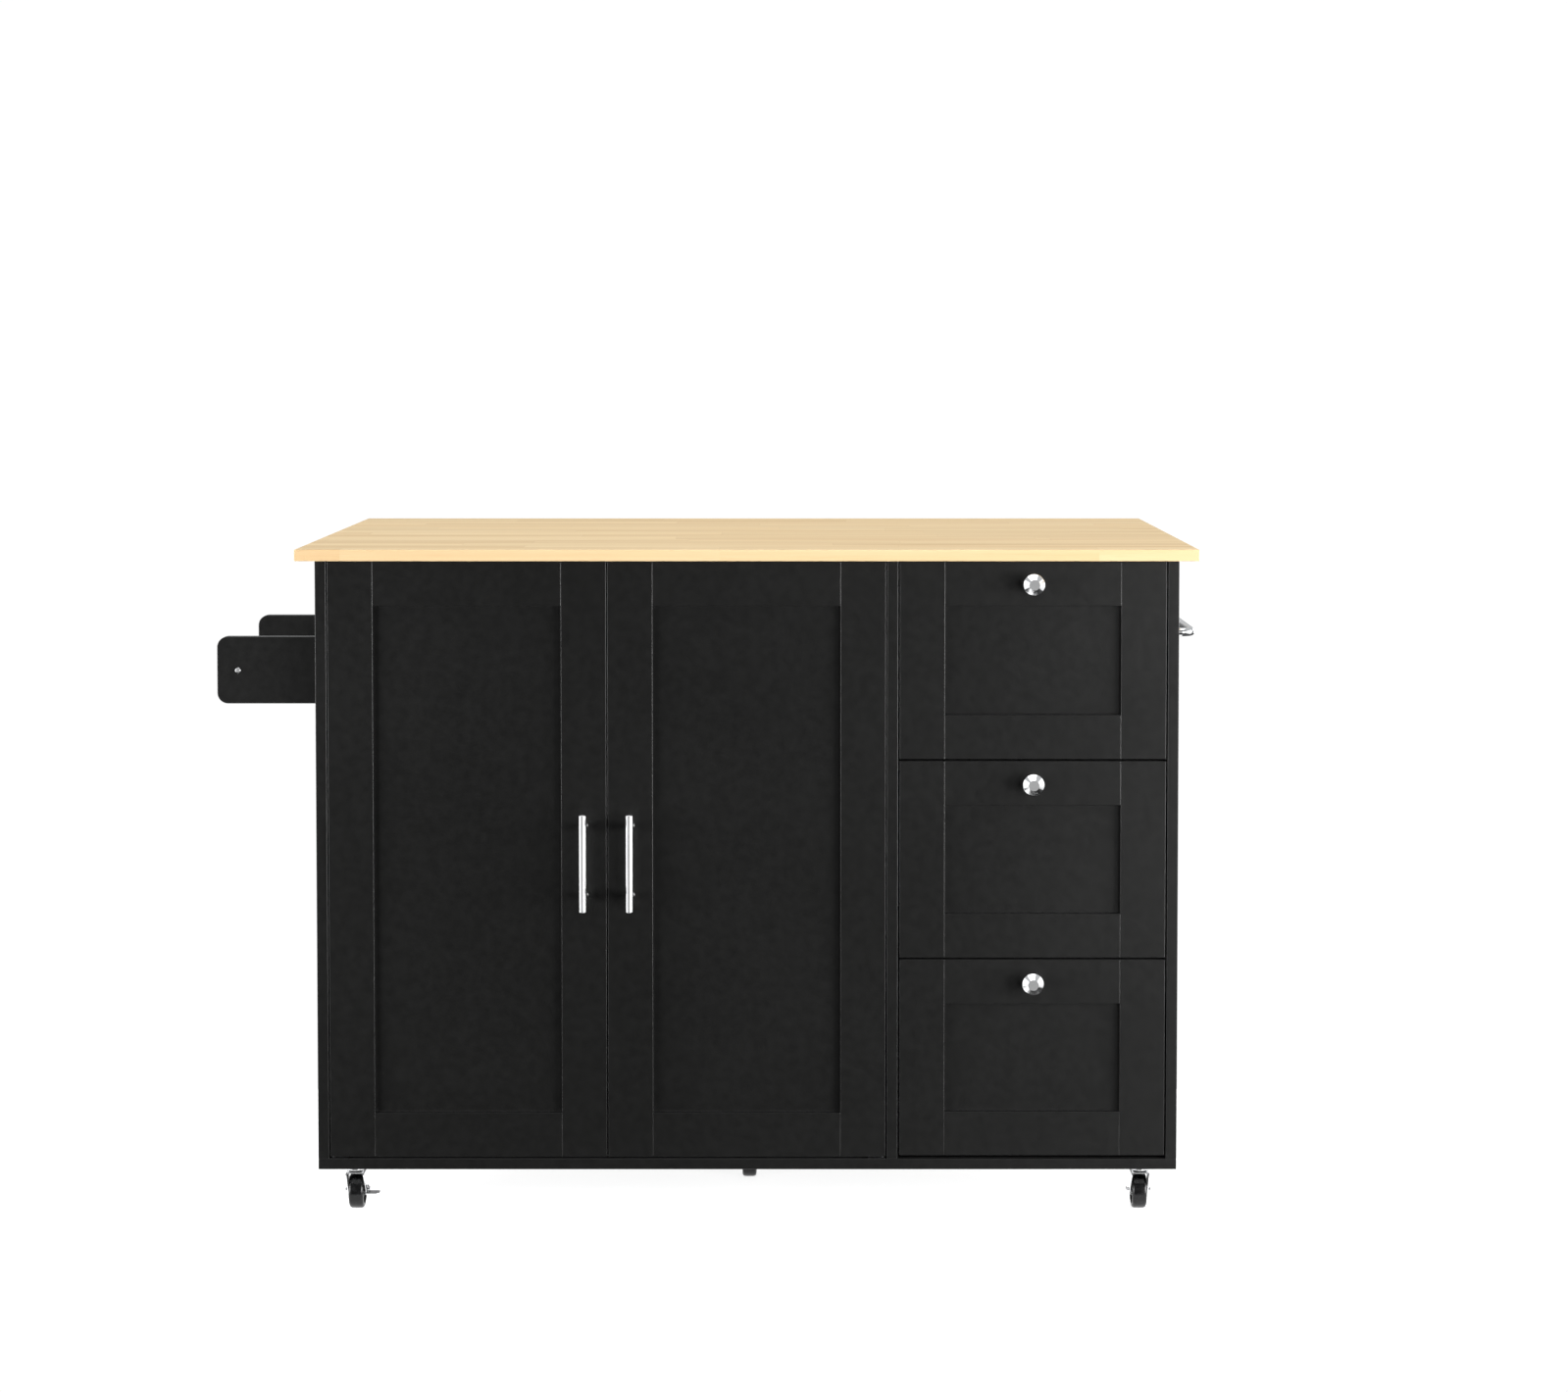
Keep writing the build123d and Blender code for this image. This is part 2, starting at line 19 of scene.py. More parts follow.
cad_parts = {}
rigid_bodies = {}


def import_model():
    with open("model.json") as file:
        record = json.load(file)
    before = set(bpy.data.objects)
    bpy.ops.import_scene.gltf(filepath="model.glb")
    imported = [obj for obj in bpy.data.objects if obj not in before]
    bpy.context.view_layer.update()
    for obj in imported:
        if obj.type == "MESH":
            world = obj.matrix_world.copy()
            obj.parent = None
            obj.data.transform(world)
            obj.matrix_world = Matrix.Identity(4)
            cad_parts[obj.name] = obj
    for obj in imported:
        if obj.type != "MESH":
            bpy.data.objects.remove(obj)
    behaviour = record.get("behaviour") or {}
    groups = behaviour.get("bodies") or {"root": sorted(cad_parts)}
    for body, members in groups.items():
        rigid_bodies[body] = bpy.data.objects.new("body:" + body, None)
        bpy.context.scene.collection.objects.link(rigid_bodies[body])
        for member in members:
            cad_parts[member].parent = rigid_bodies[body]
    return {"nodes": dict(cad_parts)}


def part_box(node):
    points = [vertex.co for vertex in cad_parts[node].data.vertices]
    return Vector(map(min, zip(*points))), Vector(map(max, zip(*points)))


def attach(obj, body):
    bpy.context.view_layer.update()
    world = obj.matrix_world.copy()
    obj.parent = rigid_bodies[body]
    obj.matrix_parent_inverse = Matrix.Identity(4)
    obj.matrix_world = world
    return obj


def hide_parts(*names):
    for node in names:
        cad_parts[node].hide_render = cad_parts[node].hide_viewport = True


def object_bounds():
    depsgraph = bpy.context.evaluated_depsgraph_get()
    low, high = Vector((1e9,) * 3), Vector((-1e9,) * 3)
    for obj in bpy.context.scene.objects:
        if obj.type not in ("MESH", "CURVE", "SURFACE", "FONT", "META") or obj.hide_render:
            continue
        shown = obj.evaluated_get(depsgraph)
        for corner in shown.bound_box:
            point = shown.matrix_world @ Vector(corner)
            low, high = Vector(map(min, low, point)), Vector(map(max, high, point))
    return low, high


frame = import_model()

cad_low, cad_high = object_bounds()
nodes = frame["nodes"]
print("overall size in metres:", [round(high - low, 3) for low, high in zip(cad_low, cad_high)])

# %% [markdown]
# ## The camera
#
# Furniture is usually shown with the lens nearly level, so that its sides stand upright. Tilting a
# camera down makes uprights lean together. Shifting the lens instead keeps them straight, but a large
# shift follows the camera into every other view. So the framing is shared between a small shift and a
# tilt of a few degrees. The camera comes first, because it says which edges will be seen.

# %% Camera
camera_data = bpy.data.cameras.new("camera")
camera_data.sensor_width = 36.0  # millimetres, as is the lens
camera_data.lens = 71.75
camera_data.shift_x = -0.0059  # shifts are shares of the frame's longer side
camera_data.shift_y = -0.1405
camera_data.clip_start = 0.1
camera_data.clip_end = 60.0
camera = bpy.data.objects.new("camera", camera_data)
camera.location = (0.1171, -4.6359, 1.2180)
tilt_down = 2.492  # degrees below level
camera.rotation_euler = (math.radians(90.0 - tilt_down), 0.0, 0.0)
bpy.context.scene.collection.objects.link(camera)
bpy.context.scene.camera = camera
print("camera height:", camera.location.z)

# %% [markdown]
# ## Helpers for shapes
#
# Nearly everything here is a flat board, a turned part or a bent rod. A real board never has a razor
# edge: its small rounded edge catches the light as a fine bright line, and that line is most of what
# tells the eye it is wood or metal. A cube with a Bevel modifier would do it too, but a bmesh can be
# bevelled edge by edge, so each board starts as a unit cube, is scaled to its size and then bevelled.


# %% A board with softened edges
def board(low, high, edge=0.001, segments=3):
    """A box between two corners, with every edge rounded."""
    shape = bmesh.new()
    bmesh.ops.create_cube(shape, size=1.0)
    size = Vector(high) - Vector(low)
    bmesh.ops.scale(shape, vec=size, verts=shape.verts)
    bmesh.ops.translate(shape, vec=(Vector(low) + Vector(high)) / 2, verts=shape.verts)
    soften(shape, shape.edges, edge, segments)
    return shape


def soften(shape, edges, width, segments=3):
    """Rounds the given edges."""
    bmesh.ops.bevel(
        shape, geom=list(edges), offset=width, offset_type="OFFSET", affect="EDGES",
        segments=segments, profile=0.5, material=-1, clamp_overlap=True,
    )


print("a softened test board has faces:", len(board((0, 0, 0), (1, 1, 1), 0.01).faces))

# %% [markdown]
# Knobs, wheels, rods, washers and screw heads are round about one axis. They could be cylinders joined
# together, but a lathe is closer to how they are made: draw half of the outline once, and spin it a full
# turn. Doubles are merged afterwards, so that the point on the axis is one point and the skin is closed.


# %% A part turned on a lathe
def turned(profile, origin, direction, steps=48):
    """Spins (radius, height) points about an axis that starts at origin and runs along direction."""
    shape = bmesh.new()
    points = [shape.verts.new((radius, 0.0, height)) for radius, height in profile]
    for first, second in zip(points, points[1:]):
        shape.edges.new((first, second))
    bmesh.ops.spin(
        shape, geom=shape.verts[:] + shape.edges[:], cent=(0, 0, 0), axis=(0, 0, 1),
        angle=2 * math.pi, steps=steps, use_merge=True, use_duplicate=False,
    )
    bmesh.ops.remove_doubles(shape, verts=shape.verts, dist=1e-6)
    bmesh.ops.recalc_face_normals(shape, faces=shape.faces)
    turn = Vector((0, 0, 1)).rotation_difference(Vector(direction)).to_matrix().to_4x4()
    bmesh.ops.transform(shape, matrix=Matrix.Translation(origin) @ turn, verts=shape.verts)
    return shape


def rod(radius, start, end, edge=0.0005, steps=32):
    """A round bar between two points, with its end edges taken off."""
    length = (Vector(end) - Vector(start)).length
    profile = [
        (0, 0), (radius - edge, 0), (radius - edge * 0.3, edge * 0.3), (radius, edge),
        (radius, length - edge), (radius - edge * 0.3, length - edge * 0.3), (radius - edge, length),
        (0, length),
    ]
    return turned(profile, start, Vector(end) - Vector(start), steps)


print("a test rod has faces:", len(rod(0.005, (0, 0, 0), (0, 0, 0.1)).faces))

# %% [markdown]
# Some nodes of the frame hold several solids, such as the four members of a door frame. Their corners
# are measured, not typed in again. A CAD mesh is loose triangles, so a merged copy is searched: starting
# from one vertex and following edges finds every vertex of that solid, and then the next one starts.


# %% Measure the separate solids of a CAD node
def solids(name):
    """(low, high) corners of each separate solid in a node, sorted by place."""
    copy = bmesh.new()
    copy.from_mesh(nodes[name].data)
    bmesh.ops.remove_doubles(copy, verts=copy.verts, dist=1e-6)
    left = set(copy.verts)
    boxes = []
    while left:
        front = [left.pop()]
        island = []
        while front:
            vertex = front.pop()
            island.append(vertex.co.copy())
            near = {edge.other_vert(vertex) for edge in vertex.link_edges} & left
            left -= near
            front.extend(near)
        low = Vector(min(co[axis] for co in island) for axis in range(3))
        high = Vector(max(co[axis] for co in island) for axis in range(3))
        boxes.append((low, high))
    copy.free()
    return sorted(boxes, key=lambda box: tuple(round(value, 4) for value in (*box[0], *box[1])))


print("solids in a door frame:", len(solids("left_door_frame")))


# %% [markdown]
# Several shapes make one piece, such as the flap, the two knuckles and the pin of a hinge. They are joined
# into one mesh with one finish. Sharp edges are marked by angle, and weighted normals keep the flat faces
# flat beside their bevels. The piece then rides on a body of the frame, and stands for a node of it.


# %% Make one piece from several shapes
def piece(name, shapes, finish, body, replaces=(), smooth_angle=40.0):
    """Joins the shapes into one mesh, gives it its finish, and lets it ride on a body of the frame."""
    whole = bmesh.new()
    for shape in shapes:
        passing = bpy.data.meshes.new("passing")
        shape.to_mesh(passing)
        shape.free()
        whole.from_mesh(passing)
        bpy.data.meshes.remove(passing)
    mesh = bpy.data.meshes.new(name)
    whole.to_mesh(mesh)
    whole.free()
    mesh.shade_smooth()
    mesh.set_sharp_from_angle(angle=math.radians(smooth_angle))
    mesh.materials.append(finish)
    made = bpy.data.objects.new(name, mesh)
    bpy.context.scene.collection.objects.link(made)
    weight = made.modifiers.new("even shading", "WEIGHTED_NORMAL")
    weight.keep_sharp = True
    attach(made, body)
    if replaces:
        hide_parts(*replaces)
    return made


print("nodes that wait for a finished piece:", len(nodes))

# %% [markdown]
# ## Helpers for finishes
#
# A finish is a few patterns laid over each other: one for colour, one for gloss and one for the tiny
# height of the surface. All of them read Object coordinates, in metres, so a pattern has a real size and
# stays with its piece when a door opens.


# %% Nodes for patterns
def new_finish(name):
    """A material with its shader and its Object coordinates."""
    made = bpy.data.materials.new(name)
    made.use_nodes = True
    tree = made.node_tree
    place = tree.nodes.new("ShaderNodeTexCoord")
    return made, tree, tree.nodes["Principled BSDF"], place.outputs["Object"]


def scaled(tree, place, scale):
    """The coordinates stretched by a factor along each axis."""
    mapping = tree.nodes.new("ShaderNodeMapping")
    mapping.inputs["Scale"].default_value = scale
    tree.links.new(place, mapping.inputs["Vector"])
    return mapping.outputs["Vector"]


def noise(tree, place, scale, detail=4.0, roughness=0.5, distortion=0.0):
    """Soft random values from 0 to 1."""
    made = tree.nodes.new("ShaderNodeTexNoise")
    made.inputs["Scale"].default_value = scale
    made.inputs["Detail"].default_value = detail
    made.inputs["Roughness"].default_value = roughness
    made.inputs["Distortion"].default_value = distortion
    tree.links.new(place, made.inputs["Vector"])
    return made.outputs["Fac"]


print("pattern helpers:", [helper.__name__ for helper in (new_finish, scaled, noise)])

# %% [markdown]
# Patterns are numbers, so they can be added, compared and stretched. Each helper takes plain numbers or
# the outputs of other nodes, which keeps a finish readable from top to bottom.


# %% Sums and ranges
def math_node(tree, operation, first, second=0.0, third=0.0, clamp=False):
    """One sum on values or sockets."""
    made = tree.nodes.new("ShaderNodeMath")
    made.operation = operation
    made.use_clamp = clamp
    for socket, value in zip(made.inputs, (first, second, third)):
        if isinstance(value, (int, float)):
            socket.default_value = value
        else:
            tree.links.new(value, socket)
    return made.outputs[0]


def spread(tree, value, low_in, high_in, low_out, high_out):
    """Maps one range of values onto another, clamped."""
    made = tree.nodes.new("ShaderNodeMapRange")
    limits = {"From Min": low_in, "From Max": high_in, "To Min": low_out, "To Max": high_out}
    for name, number in limits.items():
        made.inputs[name].default_value = number
    tree.links.new(value, made.inputs["Value"])
    return made.outputs["Result"]


print("number helpers:", [helper.__name__ for helper in (math_node, spread)])

# %% [markdown]
# At the end of a chain the numbers become a colour or a surface height. The height only tilts the light
# on the surface, so it costs no geometry and suits marks much smaller than a millimetre.


# %% Colours and surface height
def colours(tree, value, stops):
    """A colour ramp from (position, (r, g, b)) stops."""
    made = tree.nodes.new("ShaderNodeValToRGB")
    ramp = made.color_ramp
    while len(ramp.elements) < len(stops):
        ramp.elements.new(0.5)
    for element, (position, colour) in zip(ramp.elements, stops):
        element.position = position
        element.color = (*colour, 1.0)
    tree.links.new(value, made.inputs["Fac"])
    return made.outputs["Color"]


def blend_colour(tree, share, first, second, mode="MIX"):
    """Mixes two colours, each a socket or an (r, g, b)."""
    made = tree.nodes.new("ShaderNodeMix")
    made.data_type = "RGBA"
    made.blend_type = mode
    for socket, value in ((made.inputs[0], share), (made.inputs[6], first), (made.inputs[7], second)):
        if isinstance(value, (int, float)):
            socket.default_value = value
        elif isinstance(value, tuple):
            socket.default_value = (*value, 1.0)
        else:
            tree.links.new(value, socket)
    return made.outputs[2]


def relief(tree, shader, height, distance, strength=1.0):
    """Gives the surface a small height, in metres."""
    made = tree.nodes.new("ShaderNodeBump")
    made.inputs["Strength"].default_value = strength
    made.inputs["Distance"].default_value = distance
    tree.links.new(height, made.inputs["Height"])
    tree.links.new(made.outputs["Normal"], shader.inputs["Normal"])


print("colour helpers:", [helper.__name__ for helper in (colours, blend_colour, relief)])

# %% [markdown]
# ## Satin black paint
#
# The cabinet is board, sprayed black. Sprayed paint has a very fine dimpled skin, about a millimetre
# from dimple to dimple, and its gloss is never quite even. The colour is not pure black: a real black
# paint gives back less than one part in a hundred of the light, but not nothing. The narrow gaps between
# doors and drawers get painted shade: their colour is darkened to near black and their surface is made
# rougher. The Ambient Occlusion node finds such places on any piece, so the gaps need no painting by
# hand. The back, the rails under the top and the drawer trays get a duller black laminate, with the same
# painted shade in its gaps.


# %% Black paint
gap_reach = 0.007  # metres in which a facing surface makes a gap
gap_gloss = 0.9  # nearly matt
# painted shade: the near-black colour that narrow gaps are darkened to
painted_gap_shade = (0.001, 0.001, 0.001)


def black_paint(name, colour, gloss, dimple, specular):
    """Sprayed black with a dimpled skin and painted shade in its gaps. A higher gloss value is rougher."""
    made, tree, shader, place = new_finish(name)
    cloud = noise(tree, place, 3.5, detail=3.0)
    fine = noise(tree, place, 90.0, detail=3.0)
    skin = noise(tree, place, dimple, detail=2.0)
    dark = tuple(value * 0.88 for value in colour)
    light = tuple(value * 1.15 for value in colour)
    mixed = math_node(tree, "MULTIPLY_ADD", fine, 0.65, math_node(tree, "MULTIPLY", cloud, 0.35))
    coat = colours(tree, mixed, [(0.3, dark), (0.7, light)])
    even_gloss = spread(tree, mixed, 0.3, 0.7, gloss - 0.03, gloss + 0.03)
    gap = tree.nodes.new("ShaderNodeAmbientOcclusion")
    gap.samples = 4
    gap.inputs["Distance"].default_value = gap_reach
    open_air = spread(tree, gap.outputs["AO"], 0.30, 0.55, 0.0, 1.0)
    # Painted shade: within gap_reach of a facing surface, the base colour goes to near black.
    tree.links.new(blend_colour(tree, open_air, painted_gap_shade, coat), shader.inputs["Base Color"])
    difference = math_node(tree, "SUBTRACT", even_gloss, gap_gloss)
    gap_roughness = math_node(tree, "MULTIPLY_ADD", difference, open_air, gap_gloss)
    tree.links.new(gap_roughness, shader.inputs["Roughness"])
    shader.inputs["Specular IOR Level"].default_value = specular
    relief(tree, shader, skin, 0.00003, 0.5)
    return made


paint = black_paint("satin_black_paint", (0.0038, 0.0038, 0.0036), 0.36, 900.0, 0.44)
laminate = black_paint("matt_black_laminate", (0.014, 0.014, 0.0135), 0.6, 1500.0, 0.25)
print("paint finishes:", paint.name, laminate.name)

# %% [markdown]
# ## Butcher block
#
# The top is glued from long wooden strips, called staves. Each stave comes from its own place in a log,
# so its tone and its grain start somewhere else. Counting staves across the top gives each one a
# number, and a random value made from that number shifts its grain and its tone. Along a stave, the wood
# is joined end to end too, so a second count gives shorter lengths. The grain is noise stretched hard
# along the stave, with fine pores on top and a thin dull oil over it all.


# %% A random value for each stave
def random_of(tree, first, second):
    """A random value from 0 to 1 that belongs to a pair of whole numbers."""
    pair = tree.nodes.new("ShaderNodeCombineXYZ")
    tree.links.new(first, pair.inputs["X"])
    tree.links.new(second, pair.inputs["Y"])
    made = tree.nodes.new("ShaderNodeTexWhiteNoise")
    made.noise_dimensions = "3D"
    tree.links.new(pair.outputs["Vector"], made.inputs["Vector"])
    return made.outputs["Value"]


top_staves = solids("worktop")
leaf_staves = solids("leaf_board")
print("staves in the top:", len(top_staves), "in the leaf:", len(leaf_staves))

# %% [markdown]
# Two small functions split the work. The first lays out the boards: it gives the coordinates of the wood
# in each length, a random value for that length, and a line where two boards meet. The second draws the
# wood on them. The meeting lines are a millimetre wide at most.


# %% Staves and lengths
piece_length = 0.52  # metres of wood between two end joints
glue_half_width = 0.0005


def stave_layout(tree, place, y_start, pitch, seed):
    """The wood's own coordinates, a random value for each length, and the joints between them."""
    parts = tree.nodes.new("ShaderNodeSeparateXYZ")
    tree.links.new(place, parts.inputs["Vector"])
    across = math_node(tree, "DIVIDE", math_node(tree, "SUBTRACT", parts.outputs["Y"], y_start), pitch)
    stave = math_node(tree, "ADD", math_node(tree, "FLOOR", across), seed)
    stave_random = random_of(tree, stave, math_node(tree, "MULTIPLY", stave, 0.37))
    stagger = math_node(tree, "MULTIPLY", stave_random, 9.0)
    along = math_node(tree, "MULTIPLY_ADD", parts.outputs["X"], 1 / piece_length, stagger)
    length_random = random_of(tree, stave, math_node(tree, "FLOOR", along))

    shifted = tree.nodes.new("ShaderNodeCombineXYZ")
    shift_x = math_node(tree, "MULTIPLY_ADD", length_random, 17.0, parts.outputs["X"])
    shift_y = math_node(tree, "MULTIPLY_ADD", length_random, 3.1, parts.outputs["Y"])
    tree.links.new(shift_x, shifted.inputs["X"])
    tree.links.new(shift_y, shifted.inputs["Y"])
    tree.links.new(parts.outputs["Z"], shifted.inputs["Z"])

    side = math_node(tree, "ABSOLUTE", math_node(tree, "SUBTRACT", math_node(tree, "FRACT", across), 0.5))
    glue = spread(tree, side, 0.5 - glue_half_width / pitch, 0.5 - 0.0001 / pitch, 0.0, 0.45)
    end = math_node(tree, "ABSOLUTE", math_node(tree, "SUBTRACT", math_node(tree, "FRACT", along), 0.5))
    butt = spread(tree, end, 0.4992, 0.4998, 0.0, 0.35)
    return shifted.outputs["Vector"], length_random, math_node(tree, "MAXIMUM", glue, butt)


print("length of wood between end joints:", piece_length)

# %% [markdown]
# The wood itself is three patterns at three sizes: a slow figure, finer streaks, and short pores. The
# lightest and darkest lengths differ by about a tenth, as boards sorted for one top do. The
# top and the leaf get a finish each, because their staves are counted from different edges.


# %% Butcher block
def butcher_block(name, y_start, pitch, seed):
    """Pale wood in glued staves of one width, counted from y_start."""
    made, tree, shader, place = new_finish(name)
    wood, length_random, joint = stave_layout(tree, place, y_start, pitch, seed)
    figure = noise(tree, scaled(tree, wood, (1.1, 26.0, 26.0)), 1.0, detail=3.0, distortion=0.6)
    streak = noise(tree, scaled(tree, wood, (2.6, 150.0, 150.0)), 1.0, detail=4.0, roughness=0.6)
    pore = noise(tree, scaled(tree, wood, (22.0, 900.0, 900.0)), 1.0, detail=2.0)
    grain = math_node(tree, "MULTIPLY_ADD", figure, 0.62, math_node(tree, "MULTIPLY", streak, 0.38))
    base = colours(tree, grain, [
        (0.30, (0.660, 0.460, 0.240)), (0.46, (0.750, 0.555, 0.315)),
        (0.56, (0.785, 0.602, 0.355)), (0.72, (0.820, 0.650, 0.405)),
    ])
    tone = colours(tree, length_random, [
        (0.0, (0.945, 0.935, 0.915)), (0.5, (0.985, 0.985, 0.98)), (1.0, (1.03, 1.035, 1.04)),
    ])
    toned = blend_colour(tree, 1.0, base, tone, "MULTIPLY")
    pores = spread(tree, pore, 0.60, 0.74, 0.0, 0.30)
    with_pores = blend_colour(tree, pores, toned, (0.50, 0.32, 0.17))
    joined = blend_colour(tree, joint, with_pores, (0.46, 0.29, 0.15))
    tree.links.new(joined, shader.inputs["Base Color"])

    tree.links.new(spread(tree, grain, 0.3, 0.7, 0.60, 0.50), shader.inputs["Roughness"])
    shader.inputs["Specular IOR Level"].default_value = 0.12
    raised = math_node(tree, "MULTIPLY_ADD", streak, 0.35, math_node(tree, "MULTIPLY", pore, -0.65))
    height = math_node(tree, "SUBTRACT", raised, math_node(tree, "MULTIPLY", joint, 0.6))
    relief(tree, shader, height, 0.00006, 0.7)
    return made


top_low, top_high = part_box("worktop")
leaf_low, leaf_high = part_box("leaf_board")
top_pitch = (top_high.y - top_low.y) / len(top_staves)
leaf_pitch = (leaf_high.y - leaf_low.y) / len(leaf_staves)
top_wood = butcher_block("butcher_block_top", top_low.y, top_pitch, 3.0)
leaf_wood = butcher_block("butcher_block_leaf", leaf_low.y, leaf_pitch, 31.0)
print("stave width in the top:", round(top_pitch, 4), "in the leaf:", round(leaf_pitch, 4))

# %% [markdown]
# ## Bright metals
#
# Chrome plate is nearly a mirror. What shows on it is the room, so it only needs a trace of haze where
# hands have touched it. Zinc plate, on the hinges and runners, is duller and has fine drawing marks
# along the sheet. The door pivots are oiled black steel, so that they don't glint in the gap under a
# door. All are metals, so their colour is the colour of what they reflect, and one recipe serves.


# %% Chrome and zinc plate
def plated(name, colour, low_gloss, high_gloss, marks, mark_height):
    """A metal with a haze between two roughness values and fine marks."""
    made, tree, shader, place = new_finish(name)
    haze = noise(tree, place, 38.0, detail=4.0)
    lines = noise(tree, scaled(tree, place, marks), 1.0, detail=3.0)
    mixed = math_node(tree, "MULTIPLY_ADD", haze, 0.6, math_node(tree, "MULTIPLY", lines, 0.4))
    dull = tuple(value * 0.9 for value in colour)
    tree.links.new(colours(tree, mixed, [(0.35, dull), (0.65, colour)]), shader.inputs["Base Color"])
    tree.links.new(spread(tree, mixed, 0.35, 0.7, low_gloss, high_gloss), shader.inputs["Roughness"])
    shader.inputs["Metallic"].default_value = 1.0
    relief(tree, shader, lines, mark_height, 0.4)
    return made


chrome = plated("chrome_plate", (0.88, 0.885, 0.895), 0.07, 0.15, (60.0, 60.0, 60.0), 0.000004)
zinc = plated("zinc_plate", (0.62, 0.63, 0.64), 0.28, 0.42, (25.0, 25.0, 1400.0), 0.00001)
dark_steel = plated("oiled_black_steel", (0.035, 0.035, 0.036), 0.40, 0.55, (25.0, 25.0, 1400.0), 0.00001)
print("metal finishes:", chrome.name, zinc.name, dark_steel.name)

# %% [markdown]
# ## Black nylon
#
# The caster wheels are moulded nylon, smooth enough to show a bright floor in their lower half and the
# dark cabinet in their upper half. Rolling scuffs them, so small patches are a little greyer and a little
# duller than the rest. One scuff pattern drives both the colour and the gloss, as a real scuff does.


# %% Moulded nylon
def moulded(name, colour, gloss):
    """A smooth plastic with small scuffs."""
    made, tree, shader, place = new_finish(name)
    scuff = noise(tree, place, 160.0, detail=5.0, roughness=0.6)
    speck = noise(tree, place, 1900.0, detail=2.0)
    lighter = tuple(value * 1.9 for value in colour)
    tree.links.new(colours(tree, scuff, [(0.42, colour), (0.72, lighter)]), shader.inputs["Base Color"])
    tree.links.new(spread(tree, scuff, 0.35, 0.7, gloss - 0.04, gloss + 0.08), shader.inputs["Roughness"])
    shader.inputs["Specular IOR Level"].default_value = 0.28
    relief(tree, shader, speck, 0.00002, 0.3)
    return made


nylon = moulded("black_nylon", (0.0030, 0.0030, 0.0032), 0.24)
print("moulded finish:", nylon.name)

# %% [markdown]
# ## Cabinet boards
#
# The box is made of fifteen millimetre boards: the bottom runs the full width and the sides stand on it.
# Each one is a box in the real world too, so a board whose edges are rounded by about a millimetre or
# less is the right shape. The corners come from the frame, so nothing is measured twice. Each row of the
# table names a node, its finish and how far its edges are rounded, in metres.

# %% Sides, bottom, divider, back, rails and shelf
for name, finish, edge in (
    ("bottom_panel", paint, 0.0010),
    ("left_side_panel", paint, 0.0007),
    ("right_side_panel", paint, 0.0007),
    ("divider_panel", paint, 0.0006),
    ("back_panel", laminate, 0.0005),
    ("top_stretchers", laminate, 0.0008),
    ("adjustable_shelf", paint, 0.0012),
):
    shapes = [board(low, high, edge) for low, high in solids(name)]
    made = piece(name + "_finished", shapes, finish, "root", (name,))
    print(made.name, "faces:", len(made.data.polygons))

# %% [markdown]
# ## The worktop and its drop leaf
#
# Sixteen millimetres of glued staves, sanded flush, so the staves are in the finish and the board is one
# smooth slab. Its edges are eased by hand to a bit over a millimetre, which gives the fine pale line
# along the front. The leaf is the same board behind a hair-thin seam.

# %% Worktop and leaf
ease = 0.0013
piece("worktop_slab", [board(top_low, top_high, ease)], top_wood, "root", ("worktop",))
piece("leaf_slab", [board(leaf_low, leaf_high, ease)], leaf_wood, "leaf", ("leaf_board",))
print("seam between top and leaf:", round(leaf_low.y - top_high.y, 5))

# %% [markdown]
# ## Framed doors and drawer fronts
#
# Each front has two uprights (stiles) at full height and two cross rails between them, around a panel
# that sits seven millimetres back. Where a rail meets a stile, both edges are bevelled, and the two small
# bevels make the fine V groove that shows as a line. Keeping the four members as separate rounded boards
# gives that groove for free.

# %% Doors
frame_edge = 0.0005
panel_edge = 0.0004
for side in ("left", "right"):
    door = f"{side}_door"
    members = [board(low, high, frame_edge) for low, high in solids(f"{door}_frame")]
    piece(f"{door}_stiles_rails", members, paint, door, (f"{door}_frame",))
    low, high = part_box(f"{door}_panel")
    centre = [board(low, high, panel_edge)]
    piece(f"{door}_centre", centre, paint, door, (f"{door}_panel",))
    print(side, "door members:", len(members))

# %% [markdown]
# A drawer is three pieces that slide together: the framed front, the tray behind it, and a steel rail
# low on each side of the tray. The front is made like a door, with its panel among its members. The
# steel rails are rounded a little less than the tray's boards.

# %% Drawer fronts and boxes
drawers = ("top", "middle", "bottom")
for place in drawers:
    front = [board(low, high, frame_edge) for low, high in solids(f"drawer_{place}_front")]
    body = f"drawer_{place}"
    piece(f"drawer_{place}_framed_front", front, paint, body, (f"drawer_{place}_front",))
    box = [board(low, high, 0.0008) for low, high in solids(f"drawer_{place}_box")]
    piece(f"drawer_{place}_tray", box, laminate, body, (f"drawer_{place}_box",))
    rails = [board(low, high, 0.0006) for low, high in solids(f"drawer_{place}_runners")]
    piece(f"drawer_{place}_slides", rails, zinc, body, (f"drawer_{place}_runners",))
    print(place, "drawer pieces:", len(front), len(box), len(rails))

# %% [markdown]
# ## Door pulls
#
# A pull is a ten millimetre bar on two posts. The bar's ends are slightly domed, and each post flares
# where it meets the door, as a cast foot does. Both are turned shapes, so a spun outline is the natural
# way to make them.

